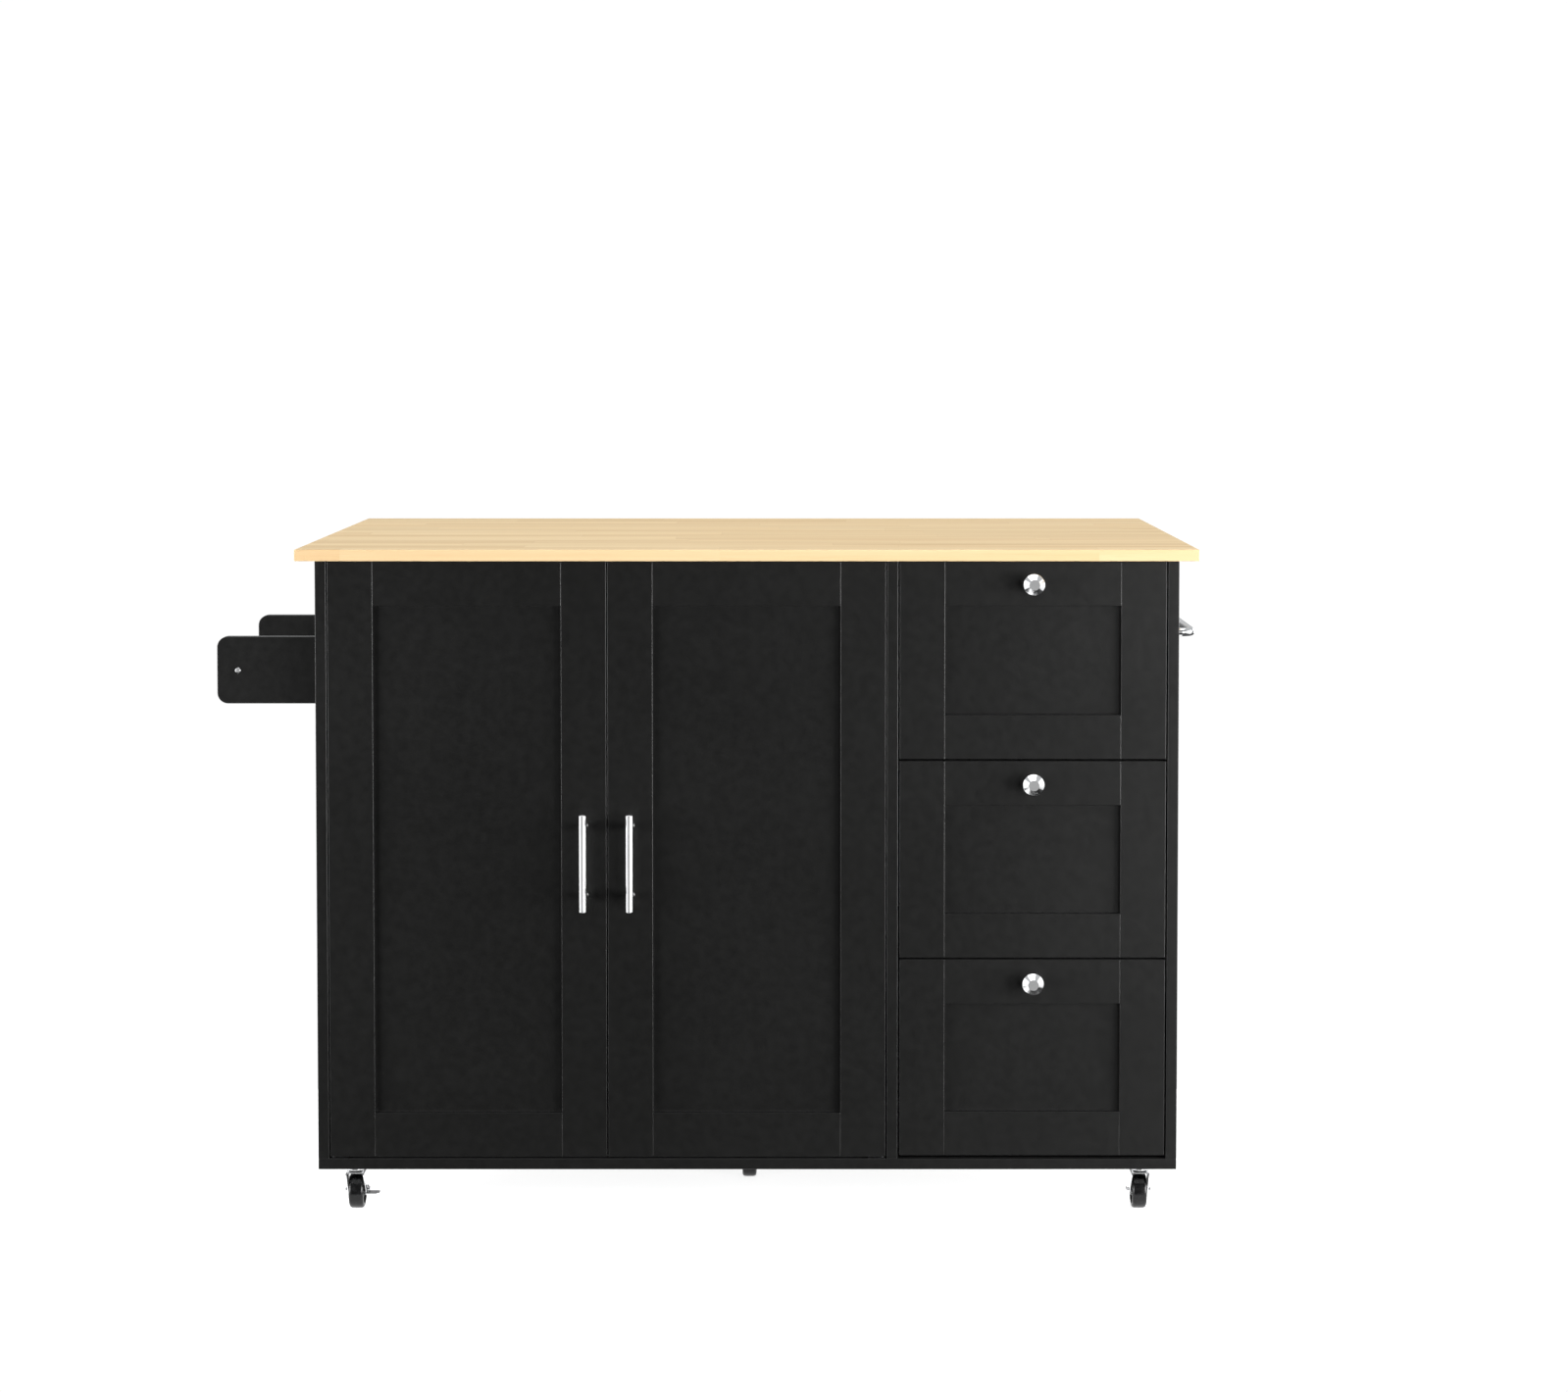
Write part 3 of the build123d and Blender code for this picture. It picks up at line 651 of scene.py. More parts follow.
# %% Bar pulls
post_spacing = 0.096
for side in ("left", "right"):
    low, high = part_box(f"{side}_door_pull")
    radius = (high.x - low.x) / 2
    centre_x = (low.x + high.x) / 2
    bar_y = low.y + radius
    length = high.z - low.z
    domed_bar = [
        (0, 0), (radius * 0.62, 0.0002), (radius * 0.9, 0.0008), (radius, 0.002), (radius, length - 0.002),
        (radius * 0.9, length - 0.0008), (radius * 0.62, length - 0.0002), (0, length),
    ]
    reach = high.y - bar_y
    flared_post = [
        (0, 0), (0.0062, 0), (0.0062, 0.0012), (0.0052, 0.0026), (0.0042, 0.0055), (0.004, 0.009),
        (0.004, reach),
    ]
    shapes = [turned(domed_bar, (centre_x, bar_y, low.z), (0, 0, 1), 40)]
    for sign in (-1, 1):
        foot = (centre_x, high.y, (low.z + high.z) / 2 + sign * post_spacing / 2)
        shapes.append(turned(flared_post, foot, (0, -1, 0), 32))
    piece(f"{side}_bar_pull", shapes, chrome, f"{side}_door", (f"{side}_door_pull",), 50.0)
    print(side, "pull length:", round(length, 3))

# %% [markdown]
# ## Drawer knobs
#
# The knob is one turned chrome part: a foot, a narrow neck, a wide shoulder and a shallow cone up to a
# small flat face. The cone and the flat face catch different parts of the room, which is what makes the
# two rings that show from the front.

# %% Round knobs
for place in drawers:
    low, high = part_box(f"drawer_{place}_knob")
    radius = (high.x - low.x) / 2
    reach = high.y - low.y
    outline = [
        (0, 0), (0.0080, 0), (0.0083, 0.0006), (0.0080, 0.0018), (0.0068, 0.0035), (0.0062, 0.006),
        (0.0062, 0.0098), (0.0072, 0.0118), (0.0098, 0.0134), (0.0128, 0.0146), (radius - 0.0006, 0.0158),
        (radius, 0.0168), (radius - 0.0003, 0.0178), (radius - 0.0010, 0.0185), (0.0110, 0.0213),
        (0.0075, reach - 0.0002), (0.0073, reach), (0.0060, reach), (0, reach),
    ]
    centre = ((low.x + high.x) / 2, high.y, (low.z + high.z) / 2)
    knob = [turned(outline, centre, (0, -1, 0), 64)]
    body = f"drawer_{place}"
    piece(f"drawer_{place}_round_knob", knob, chrome, body, (f"drawer_{place}_knob",), 24.0)
print("knob radius:", round(radius, 4), "reach:", round(reach, 4))

# %% [markdown]
# ## Spice rack
#
# Two plates with rounded outer corners stand out of the left side, joined by a low shelf and a rod that
# keeps jars in. The corners are rounded first, with a large radius, and then every edge is softened,
# which is the order a router works in. Edges are picked by where their ends lie and by the angle between
# their faces, so nothing depends on an edge's number. The edges against the cabinet stay sharp.


# %% Rack plates
def rack_plate(low, high, corner, edge):
    """A board whose two outer corners, at its low X side, are rounded before its edges are softened."""
    shape = board(low, high, 0.0)
    outer = [line for line in shape.edges if all(end.co.x < low.x + 1e-5 for end in line.verts)]
    outer = [line for line in outer if abs(line.verts[0].co.y - line.verts[1].co.y) > 1e-4]
    soften(shape, outer, corner, 10)
    rim = [line for line in shape.edges if line.calc_face_angle(0.0) > math.radians(60)]
    rim = [line for line in rim if not all(end.co.x > high.x - 1e-5 for end in line.verts)]
    soften(shape, rim, edge, 3)
    return shape


rack_corner = 0.015
for place in ("front", "rear"):
    low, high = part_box(f"rack_{place}_plate")
    plate = [rack_plate(low, high, rack_corner, 0.0011)]
    piece(f"rack_{place}_side", plate, paint, "root", (f"rack_{place}_plate",))
print("rack plate height:", round(high.z - low.z, 4))

# %% [markdown]
# Between the plates lies a plain shelf for the jars, and a round rod along its outer side keeps them in.
# Both are painted black like the rest and take their places from the frame.

# %% Rack shelf and guard rod
low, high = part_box("rack_shelf")
piece("rack_jar_shelf", [board(low, high, 0.001)], paint, "root", ("rack_shelf",))
low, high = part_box("rack_rod")
rod_radius = (high.z - low.z) / 2
rod_start = ((low.x + high.x) / 2, low.y, (low.z + high.z) / 2)
rod_end = (rod_start[0], high.y, rod_start[2])
guard = [rod(rod_radius, rod_start, rod_end, steps=40)]
piece("rack_guard_rod", guard, paint, "root", ("rack_rod",))
print("guard rod radius:", round(rod_radius, 4))

# %% [markdown]
# ## Screw heads
#
# Nearly every metal fitting is held by screws. One helper makes a low domed head with a six-sided
# socket: a turned outline first, and then the ring of the socket is pushed out onto a hexagon.


# %% A socket screw head
def screw_head(centre, direction, radius, height, steps=36):
    """A domed head with a hexagonal socket. Its flat back is at centre, and it points along direction."""
    socket = radius * 0.46
    outline = [
        (0, height * 0.35), (socket, height * 0.35), (socket, height * 0.97), (socket * 1.25, height),
        (radius * 0.78, height * 0.93), (radius * 0.95, height * 0.62), (radius, height * 0.25),
        (radius, 0), (0, 0),
    ]
    shape = turned(outline, (0, 0, 0), (0, 0, 1), steps)
    for vertex in shape.verts:
        reach = vertex.co.xy.length
        if abs(reach - socket) < socket * 0.02 and vertex.co.z > height * 0.3:
            angle = math.atan2(vertex.co.y, vertex.co.x) % (math.pi / 3) - math.pi / 6
            grow = socket * math.cos(math.pi / 6) / math.cos(angle) / reach
            vertex.co.x *= grow
            vertex.co.y *= grow
    turn = Vector((0, 0, 1)).rotation_difference(Vector(direction)).to_matrix().to_4x4()
    bmesh.ops.transform(shape, matrix=Matrix.Translation(centre) @ turn, verts=shape.verts)
    return shape


sample_head = screw_head((0, 0, 0), (0, 0, 1), 0.003, 0.001)
print("faces on one screw head:", len(sample_head.faces))
sample_head.free()

# %% [markdown]
# The rack's screws sit on the outer faces of its two plates. They face forwards on the front plate and
# backwards on the rear one.

# %% Rack screws
heads = []
for low, high in solids("rack_screws"):
    radius = (high.x - low.x) / 2
    outward = -1 if low.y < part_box("rack_shelf")[0].y else 1
    back = high.y if outward < 0 else low.y
    centre = ((low.x + high.x) / 2, back, (low.z + high.z) / 2)
    heads.append(screw_head(centre, (0, outward, 0), radius, high.y - low.y))
print("rack screws:", len(heads))
piece("rack_screw_heads", heads, chrome, "root", ("rack_screws",))

# %% [markdown]
# ## Towel bar
#
# The bar is one steel tube bent into a wide U. A curve with a round bevel could draw it. Here a ring of
# points is carried along the path and turned with it instead, so that it is a closed mesh from the start
# and its bends keep a round section. Each bend is stepped finely, because chrome shows every facet.


# %% A tube along a path
def arc(centre, radius, start, end, steps=12):
    """Points on a part of a circle in the XY plane."""
    angles = [start + (end - start) * step / steps for step in range(steps + 1)]
    return [Vector(centre) + radius * Vector((math.cos(a), math.sin(a), 0)) for a in angles]


def tube(path, radius, steps=32):
    """A closed round bar that follows a path lying in the XY plane."""
    shape = bmesh.new()
    rings = []
    for index, point in enumerate(path):
        before = path[max(index - 1, 0)]
        after = path[min(index + 1, len(path) - 1)]
        along = (after - before).normalized()
        side = along.cross(Vector((0, 0, 1)))
        turns = [2 * math.pi * step / steps for step in range(steps)]
        ring = [point + radius * (side * math.cos(a) + Vector((0, 0, 1)) * math.sin(a)) for a in turns]
        rings.append([shape.verts.new(co) for co in ring])
    for first, second in zip(rings, rings[1:]):
        for step in range(steps):
            after = (step + 1) % steps
            shape.faces.new((first[step], first[after], second[after], second[step]))
    shape.faces.new(rings[0])
    shape.faces.new(rings[-1])
    bmesh.ops.recalc_face_normals(shape, faces=shape.faces)
    return shape


print("a quarter bend has points:", len(arc((0, 0, 0), 1.0, 0, math.pi / 2)))

# %% [markdown]
# The path follows the real bar: straight out of the side, round a bend, along the side and back in. The
# bar's own box in the frame gives the tube's radius and the length of each run.

# %% Towel bar
low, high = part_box("towel_bar")
bar_radius = (high.z - low.z) / 2
bar_z = (low.z + high.z) / 2
bar_x = high.x - bar_radius
bar_front, bar_rear = low.y + bar_radius, high.y - bar_radius
bend = 0.015
bar_path = [Vector((low.x, bar_front, bar_z))]
bar_path += arc((bar_x - bend, bar_front + bend, bar_z), bend, -math.pi / 2, 0)
bar_path += arc((bar_x - bend, bar_rear - bend, bar_z), bend, 0, math.pi / 2)
bar_path += [Vector((low.x, bar_rear, bar_z))]
piece("towel_bar_tube", [tube(bar_path, bar_radius, 40)], chrome, "root", ("towel_bar",))
print("towel bar stands out by:", round(high.x - low.x, 4))

# %% [markdown]
# ## Casters
#
# A light furniture caster is a pressed steel fork that turns on a riveted bearing under a square plate.
# The fork is one strip of sheet bent down on both sides of the wheel, so it is made like that: a strip
# of quads follows the bend, narrows to a round tip at the axle, and is then given its thickness.


# %% The fork's bent sheet
def leg_outline(axle_y, axle_z, tip, top_low, top_high, top_z):
    """The side view of a leg: a round tip at the axle and straight sides up to the crown."""
    points = [(top_low, top_z), (top_high, top_z)]
    for step in range(48):
        angle = 2 * math.pi * step / 48
        points.append((axle_y + tip * math.cos(angle), axle_z + tip * math.sin(angle)))
    return [points[i] for i in convex_hull_2d(points)]


def width_at(outline, height):
    """Lowest and highest Y of the outline at a height."""
    found = []
    for (y_one, z_one), (y_two, z_two) in zip(outline, outline[1:] + outline[:1]):
        if min(z_one, z_two) <= height <= max(z_one, z_two) and abs(z_one - z_two) > 1e-9:
            found.append(y_one + (y_two - y_one) * (height - z_one) / (z_two - z_one))
    return min(found), max(found)


def fork_sheet(x, y, half_width, sheet, axle_y, axle_z, tip, crown_top, crown_half, bend_radius=0.004):
    """One strip, bent down at both sides of the wheel and given its thickness."""
    outline = leg_outline(axle_y, axle_z, tip, y - crown_half, y + crown_half, crown_top - bend_radius)
    stations = []
    bottom = axle_z - tip
    heights = [bottom + tip * (1 - math.cos(math.radians(a))) for a in (12, 25, 38, 52, 66, 80)]
    heights += [axle_z + (crown_top - bend_radius - axle_z) * share for share in (0.1, 0.35, 0.6, 0.85)]
    for height in heights:
        stations.append((half_width, height, *width_at(outline, height)))
    for step in range(6):
        angle = math.radians(90 * step / 5)
        across = half_width - bend_radius * (1 - math.cos(angle))
        height = crown_top - bend_radius * (1 - math.sin(angle))
        stations.append((across, height, y - crown_half, y + crown_half))
    stations = stations + [(-across, *rest) for across, *rest in reversed(stations)]
    shape = bmesh.new()
    pairs = [
        (shape.verts.new((x + across, y_low, z)), shape.verts.new((x + across, y_high, z)))
        for across, z, y_low, y_high in stations
    ]
    for (low_one, high_one), (low_two, high_two) in zip(pairs, pairs[1:]):
        shape.faces.new((low_one, high_one, high_two, low_two))
    bmesh.ops.recalc_face_normals(shape, faces=shape.faces)
    if shape.faces[0].normal.x < 0:
        bmesh.ops.reverse_faces(shape, faces=shape.faces)
    bmesh.ops.solidify(shape, geom=shape.faces[:], thickness=sheet)
    bmesh.ops.recalc_face_normals(shape, faces=shape.faces)
    rim = [line for line in shape.edges if line.calc_face_angle(0.0) > math.radians(70)]
    soften(shape, rim, 0.0004, 2)
    return shape


print("points round a leg:", len(leg_outline(0, 0, 0.008, -0.015, 0.015, 0.03)))

# %% [markdown]
# The wheel is turned about its axle: a slightly crowned tread with round shoulders, a shallow dish in
# each side and a hub round the bore. The axle ends are riveted caps, a lock nut sits beneath the
# bearing, and four small screws hold the plate up to the cabinet.


# %% Wheel outline
def wheel_outline(radius, width, bore):
    """(radius, height) points of half a wheel, mirrored about its middle to make the whole ring."""
    half = width / 2
    side = [
        (bore, half), (bore + 0.0032, half), (bore + 0.0042, half - 0.0006), (bore + 0.0050, half - 0.0022),
        (radius * 0.62, half - 0.0028), (radius * 0.70, half - 0.0022), (radius * 0.735, half - 0.0008),
        (radius * 0.76, half - 0.0001), (radius - 0.0042, half),
    ]
    for angle in (15, 30, 45, 60, 75, 90):
        turn = math.radians(angle)
        side.append((radius - 0.0042 + 0.0040 * math.sin(turn), half - 0.0040 + 0.0040 * math.cos(turn)))
    side.append((radius - 0.00005, half * 0.35))
    side.append((radius, 0.0))
    other = [(reach, -height) for reach, height in reversed(side[:-1])]
    return side + other + [side[0]]


places = ("front_left", "front_right", "rear_left", "rear_right", "centre")
wheel_bore = 0.0032
for place in places:
    name = f"wheel_{place}"
    low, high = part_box(name)
    radius = (high.z - low.z) / 2
    middle = (low + high) / 2
    outline = wheel_outline(radius, high.x - low.x, wheel_bore)
    wheel = [turned(outline, middle, (1, 0, 0), 72)]
    piece(f"caster_{name}", wheel, nylon, name, (name,), 30.0)
print("wheel radius:", round(radius, 4), "outline points:", len(outline))

# %% [markdown]
# The fork, its axle, the two riveted caps and the two washers beside the hub turn together when the
# caster swivels, so they are one piece on the caster's own body. The axle runs through a bore that is a
# fifth of a millimetre wider than the axle all round.

# %% Forks, axles and caps
fork_tip = 0.008
fork_half_width = 0.0135
fork_sheet_thickness = 0.002
crown_half = 0.015
axle_radius = 0.003
axle_half_length = 0.0165
rivet_cap = [
    (0, 0.0018), (0.0028, 0.0017), (0.0043, 0.0013), (0.0052, 0.0006), (0.0055, 0.0002), (0.0055, 0),
    (0, 0),
]
hub_washer = [(0.003, 0), (0.0062, 0), (0.0066, 0.0003), (0.0062, 0.0006), (0.003, 0.0006), (0.003, 0)]
for place in places:
    low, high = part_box(f"fork_{place}")
    wheel_low, wheel_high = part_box(f"wheel_{place}")
    axle = (wheel_low + wheel_high) / 2
    crown_y = low.y + crown_half
    x, y, z = axle
    shapes = [
        fork_sheet(x, crown_y, fork_half_width, fork_sheet_thickness, y, z, fork_tip, high.z, crown_half),
        rod(axle_radius, (x - axle_half_length, y, z), (x + axle_half_length, y, z)),
    ]
    for out in (-1, 1):
        shapes.append(turned(rivet_cap, (x + out * 0.0162, y, z), (out, 0, 0), 36))
        shapes.append(turned(hub_washer, (x + out * 0.0102, y, z), (out, 0, 0), 36))
    piece(f"caster_fork_{place}", shapes, chrome, f"caster_{place}", (f"fork_{place}",), 35.0)
print("fork height:", round(high.z - low.z, 4))

# %% [markdown]
# Each caster hangs from a square plate on the bottom board. A turned cup below the plate holds the ball
# bearing, and a rivet ends in a round nut under the fork's crown. The plates stay with the cabinet, so
# all five are one piece on the root.

# %% Plates, bearings and their screws
plate_half = 0.019
plate_thickness = 0.002
plate_corner = 0.004
screw_spacing = 0.0152
bearing_gap = 0.0003
shapes = []
for place in places:
    low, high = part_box(f"fork_{place}")
    x, y = (low.x + high.x) / 2, low.y + crown_half
    plate_low, plate_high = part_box("caster_plates")
    z_high, z_low = plate_high.z, plate_high.z - plate_thickness
    plate = board((x - plate_half, y - plate_half, z_low), (x + plate_half, y + plate_half, z_high), 0.0)
    corners = [line for line in plate.edges if abs(line.verts[0].co.z - line.verts[1].co.z) > 1e-4]
    soften(plate, corners, plate_corner, 6)
    rim = [line for line in plate.edges if line.calc_face_angle(0.0) > math.radians(60)]
    soften(plate, rim, 0.0004, 2)
    shapes.append(plate)
    race = high.z + bearing_gap
    cup = [
        (0, race), (0.0105, race), (0.0118, race + 0.0003), (0.0128, race + 0.0010),
        (0.0146, race + 0.0018), (0.0150, race + 0.0026), (0.0148, race + 0.0040),
        (0.0138, race + 0.0058), (0.0122, z_low), (0, z_low),
    ]
    shapes.append(turned(cup, (x, y, 0), (0, 0, 1), 48))
    shapes.append(rod(0.003, (x, y, plate_low.z + 0.0005), (x, y, z_low)))
    nut = [
        (0, 0), (0.0040, 0), (0.0052, 0.0005), (0.0055, 0.0010), (0.0055, 0.0022), (0.0050, 0.0025),
        (0, 0.0025),
    ]
    shapes.append(turned(nut, (x, y, plate_low.z), (0, 0, 1), 36))
    for across in (-screw_spacing, screw_spacing):
        for along in (-screw_spacing, screw_spacing):
            shapes.append(screw_head((x + across, y + along, z_low), (0, 0, -1), 0.0026, 0.0012, 24))
piece("caster_plates_bearings", shapes, chrome, "root", ("caster_plates",), 35.0)
print("caster mounting shapes:", len(shapes))

# %% [markdown]
# Two casters carry a brake: a thin lever on a ring round the axle, with a ribbed tab that a toe can
# press. The tab starts half a millimetre outside the rivet cap's rim, so the lever turns without
# touching the cap.

# %% Brake levers
tab_reach = 0.022
tab_start = 0.0060
tab_half_thickness = 0.001
for place, out in (("front_left", 1), ("rear_right", -1)):
    low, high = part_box(f"brake_{place}")
    wheel_low, wheel_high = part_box(f"wheel_{place}")
    axle = (wheel_low + wheel_high) / 2
    inner = low.x if out > 0 else high.x
    ring = [
        (0.0032, 0.0001), (0.0066, 0.0001), (0.0070, 0.0005), (0.0070, 0.0016),
        (0.0066, 0.0020), (0.0032, 0.0020), (0.0032, 0.0001),
    ]
    shapes = [turned(ring, (inner, axle.y, axle.z), (out, 0, 0), 48)]
    outer = high.x if out > 0 else low.x
    tab_x = sorted((inner + out * 0.0001, outer))
    tab_low = (tab_x[0], axle.y - tab_reach, axle.z - tab_half_thickness)
    tab_high = (tab_x[1], axle.y - tab_start, axle.z + tab_half_thickness)
    tab = board(tab_low, tab_high, 0.0)
    upright = [line for line in tab.edges if abs(line.verts[0].co.z - line.verts[1].co.z) > 1e-4]
    outer_corners = [line for line in upright if abs(line.verts[0].co.x - outer) < 1e-5]
    soften(tab, outer_corners, 0.004, 6)
    rim = [line for line in tab.edges if line.calc_face_angle(0.0) > math.radians(60)]
    soften(tab, rim, 0.0004, 2)
    shapes.append(tab)
    for step in range(4):
        rib_x = outer - out * (0.003 + 0.0028 * step)
        rib_start = (rib_x, axle.y - 0.019, axle.z + 0.0008)
        rib_end = (rib_x, axle.y - 0.009, axle.z + 0.0008)
        shapes.append(rod(0.0005, rib_start, rib_end, 0.0002, 12))
    piece(f"brake_lever_{place}", shapes, chrome, f"brake_{place}", (f"brake_{place}",), 35.0)
print("brake lever reach:", round(high.x - low.x, 4))

# %% [markdown]
# ## Leaf hinges, struts and channels
#
# Behind and below the top is plain zinc hardware. The hinges have three knuckles on one pin. Each
# folding strut hangs from a bracket under the leaf and stands with its round foot in a channel on the
# back. It is rarely seen, but it is what carries the leaf, so it gets its screws and its rounded sheet
# edges too.


# %% Leaf hinges
hinge_places = solids("leaf_hinges_fixed")
hinge_axis_y = (top_high.y + leaf_low.y) / 2
for name, body, side in (("leaf_hinges_fixed", "root", -1), ("leaf_hinges_moving", "leaf", 1)):
    shapes = []
    for low, high in hinge_places:
        axis_z = low.z + 0.003
        third = (high.x - low.x) / 3
        flap_y = sorted((hinge_axis_y + side * 0.0033, hinge_axis_y + side * 0.030))
        shapes.append(board((low.x, flap_y[0], high.z - 0.0015), (high.x, flap_y[1], high.z), 0.0003, 2))
        for number in (0, 2) if side < 0 else (1,):
            start, end = low.x + third * number + 0.0003, low.x + third * (number + 1) - 0.0003
            shapes.append(rod(0.003, (start, hinge_axis_y, axis_z), (end, hinge_axis_y, axis_z), 0.0003))
            neck_y = sorted((hinge_axis_y, hinge_axis_y + side * 0.004))
            shapes.append(board((start, neck_y[0], high.z - 0.0015), (end, neck_y[1], high.z), 0.0002, 1))
        if side < 0:
            start, end = (low.x, hinge_axis_y, axis_z), (high.x, hinge_axis_y, axis_z)
            shapes.append(rod(0.0015, start, end, 0.0003, 24))
        for along in (0.2, 0.8):
            for across in (0.011, 0.023):
                centre = (low.x + (high.x - low.x) * along, hinge_axis_y + side * across, high.z - 0.0015)
                shapes.append(screw_head(centre, (0, 0, -1), 0.003, 0.0007, 24))
    piece(name + "_finished", shapes, zinc, body, (name,))
print("leaf hinges:", len(hinge_places))

# %% [markdown]
# Each channel on the back is a C of two millimetre sheet: a web against the back panel and two walls. It
# is drawn as those three boards. The walls run into the web and stop a tenth of a millimetre short of its
# back and its ends. A screw head near each end holds the channel.

# %% Channels on the back
shapes = []
channel_sheet = 0.002
for low, high in solids("strut_channels"):
    shapes.append(board((low.x, low.y, low.z), (high.x, low.y + channel_sheet, high.z), 0.0004, 2))
    for start, end in ((low.x, low.x + channel_sheet), (high.x - channel_sheet, high.x)):
        wall = board((start, low.y + 0.0001, low.z + 0.0001), (end, high.y, high.z - 0.0001), 0.0004, 2)
        shapes.append(wall)
    for height in (low.z + 0.005, high.z - 0.005):
        centre = ((low.x + high.x) / 2, low.y + channel_sheet, height)
        shapes.append(screw_head(centre, (0, 1, 0), 0.003, 0.0008, 24))
piece("strut_channels_finished", shapes, zinc, "root", ("strut_channels",))
print("channel height:", round(high.z - low.z, 4))

# %% [markdown]
# Flat links with round ends are stamped from sheet. The hull round a few circles and points gives the
# outline of such a link, which is pushed to its thickness and softened at the rim. The same helper makes
# the struts and the cheeks of their brackets.


# %% A flat link with round ends
def link(points, x_low, x_high, edge):
    """The hull of (y, z) points, as thick as x_low to x_high."""
    outline = [points[i] for i in convex_hull_2d(points)]
    shape = bmesh.new()
    face = shape.faces.new([shape.verts.new((x_low, y, z)) for y, z in outline])
    grown = bmesh.ops.extrude_face_region(shape, geom=[face])
    moved = [item for item in grown["geom"] if isinstance(item, bmesh.types.BMVert)]
    bmesh.ops.translate(shape, vec=(x_high - x_low, 0, 0), verts=moved)
    bmesh.ops.recalc_face_normals(shape, faces=shape.faces)
    rim = [line for line in shape.edges if line.calc_face_angle(0.0) > math.radians(70)]
    soften(shape, rim, edge, 2)
    return shape


def circle(y, z, radius, steps=40):
    """(y, z) points on a circle."""
    angles = [2 * math.pi * step / steps for step in range(steps)]
    return [(y + radius * math.cos(a), z + radius * math.sin(a)) for a in angles]


print("points on a circle:", len(circle(0, 0, 0.005)))

# %% [markdown]
# A strut and a bracket are on different bodies, because the strut turns on the bracket's pin. The real
# strut is also held in the channel. Here that loop is opened at the foot.

# %% Struts and their brackets
pin_radius = 0.0025
cheek_gap = 0.0065
for low, high in solids("strut_brackets"):
    x = (low.x + high.x) / 2
    side = "left" if x < (cad_low.x + cad_high.x) / 2 else "right"
    strut_low, strut_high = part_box(f"leaf_strut_{side}")
    pivot = (strut_high.y - 0.006, strut_high.z - 0.006)
    foot = (strut_low.y + 0.005, strut_low.z + 0.005)
    points = circle(*pivot, 0.006) + circle(*foot, 0.005)
    strut = [link(points, strut_low.x, strut_high.x, 0.0009)]
    for sign in (-1, 1):
        face_x = strut_low.x if sign < 0 else strut_high.x
        washer = [(0.0028, 0), (0.0045, 0), (0.0045, 0.0002), (0.0028, 0.0003), (0.0028, 0)]
        strut.append(turned(washer, (face_x, *pivot), (sign, 0, 0), 32))
    name = f"leaf_strut_{side}"
    piece(f"{name}_finished", strut, zinc, f"strut_{side}", (name,))
shapes = []
for low, high in solids("strut_brackets"):
    x = (low.x + high.x) / 2
    pivot = (high.y - 0.030, low.z + 0.006)
    shapes.append(board((low.x, low.y, high.z - 0.002), (high.x, high.y, high.z), 0.0005, 2))
    for start, end in ((x - cheek_gap - 0.002, x - cheek_gap), (x + cheek_gap, x + cheek_gap + 0.002)):
        root_line = [(pivot[0] - 0.014, high.z - 0.0015), (pivot[0] + 0.014, high.z - 0.0015)]
        shapes.append(link(circle(*pivot, 0.006) + root_line, start, end, 0.0004))
    shapes.append(rod(pin_radius, (x - 0.0100, *pivot), (x + 0.0100, *pivot), 0.0005))
    for y in (low.y + 0.009, low.y + 0.026, high.y - 0.008):
        shapes.append(screw_head((x, y, high.z - 0.002), (0, 0, -1), 0.0035, 0.0009, 24))
piece("strut_brackets_finished", shapes, zinc, "leaf", ("strut_brackets",))
print("strut thickness:", round(strut_high.x - strut_low.x, 4))

# %% [markdown]
# ## Fittings inside the cabinet
#
# These pieces are only seen when a door or a drawer is open: the steel channels that carry the drawers,
# the little pins that hold up the shelf, and the plates and pins that the doors turn on. A drawer channel
# is a C like the ones on the back, laid on its side and open towards the drawer. Its web is screwed to
# the divider or to the cabinet's right side, and its X says to which.

# %% Drawer channels
sheet = 0.0015
channel_set_back = 0.008
between_the_rows = 0.4
shapes = []
for low, high in solids("cabinet_runners"):
    low.y += channel_set_back
    on_the_divider = low.x < between_the_rows
    wall = low.x if on_the_divider else high.x
    inward = 1 if on_the_divider else -1
    web = sorted((wall, wall + inward * sheet))
    shapes.append(board((web[0], low.y, low.z), (web[1], high.y, high.z), 0.0003, 2))
    for z_low, z_high in ((low.z, low.z + sheet), (high.z - sheet, high.z)):
        lip = board((low.x, low.y + 0.0001, z_low), (high.x, high.y - 0.0001, z_high), 0.0003, 2)
        shapes.append(lip)
    for along in (0.06, 0.5, 0.94):
        centre = (wall + inward * sheet, low.y + (high.y - low.y) * along, (low.z + high.z) / 2)
        shapes.append(screw_head(centre, (inward, 0, 0), 0.003, 0.0008, 24))
piece("cabinet_drawer_channels", shapes, zinc, "root", ("cabinet_runners",))
print("drawer channel shapes:", len(shapes))

# %% [markdown]
# Turned pins carry the shelf, so that it can be taken out and moved. Each has a thin collar against the
# cabinet's wall and a bevelled free end.

# %% Shelf pins
pins = []
for low, high in solids("shelf_pins"):
    inward = 1 if low.x < 0 else -1
    wall = low.x if inward > 0 else high.x
    y, z = (low.y + high.y) / 2, (low.z + high.z) / 2
    radius = (high.z - low.z) / 2
    length = high.x - low.x
    outline = [
        (0, 0), (0.0034, 0), (0.0034, 0.0008), (radius, 0.0009), (radius, length - 0.0008),
        (radius * 0.7, length), (0, length),
    ]
    pins.append(turned(outline, (wall, y, z), (inward, 0, 0), 28))
piece("shelf_pins_finished", pins, zinc, "root", ("shelf_pins",))
print("shelf pins:", len(pins))

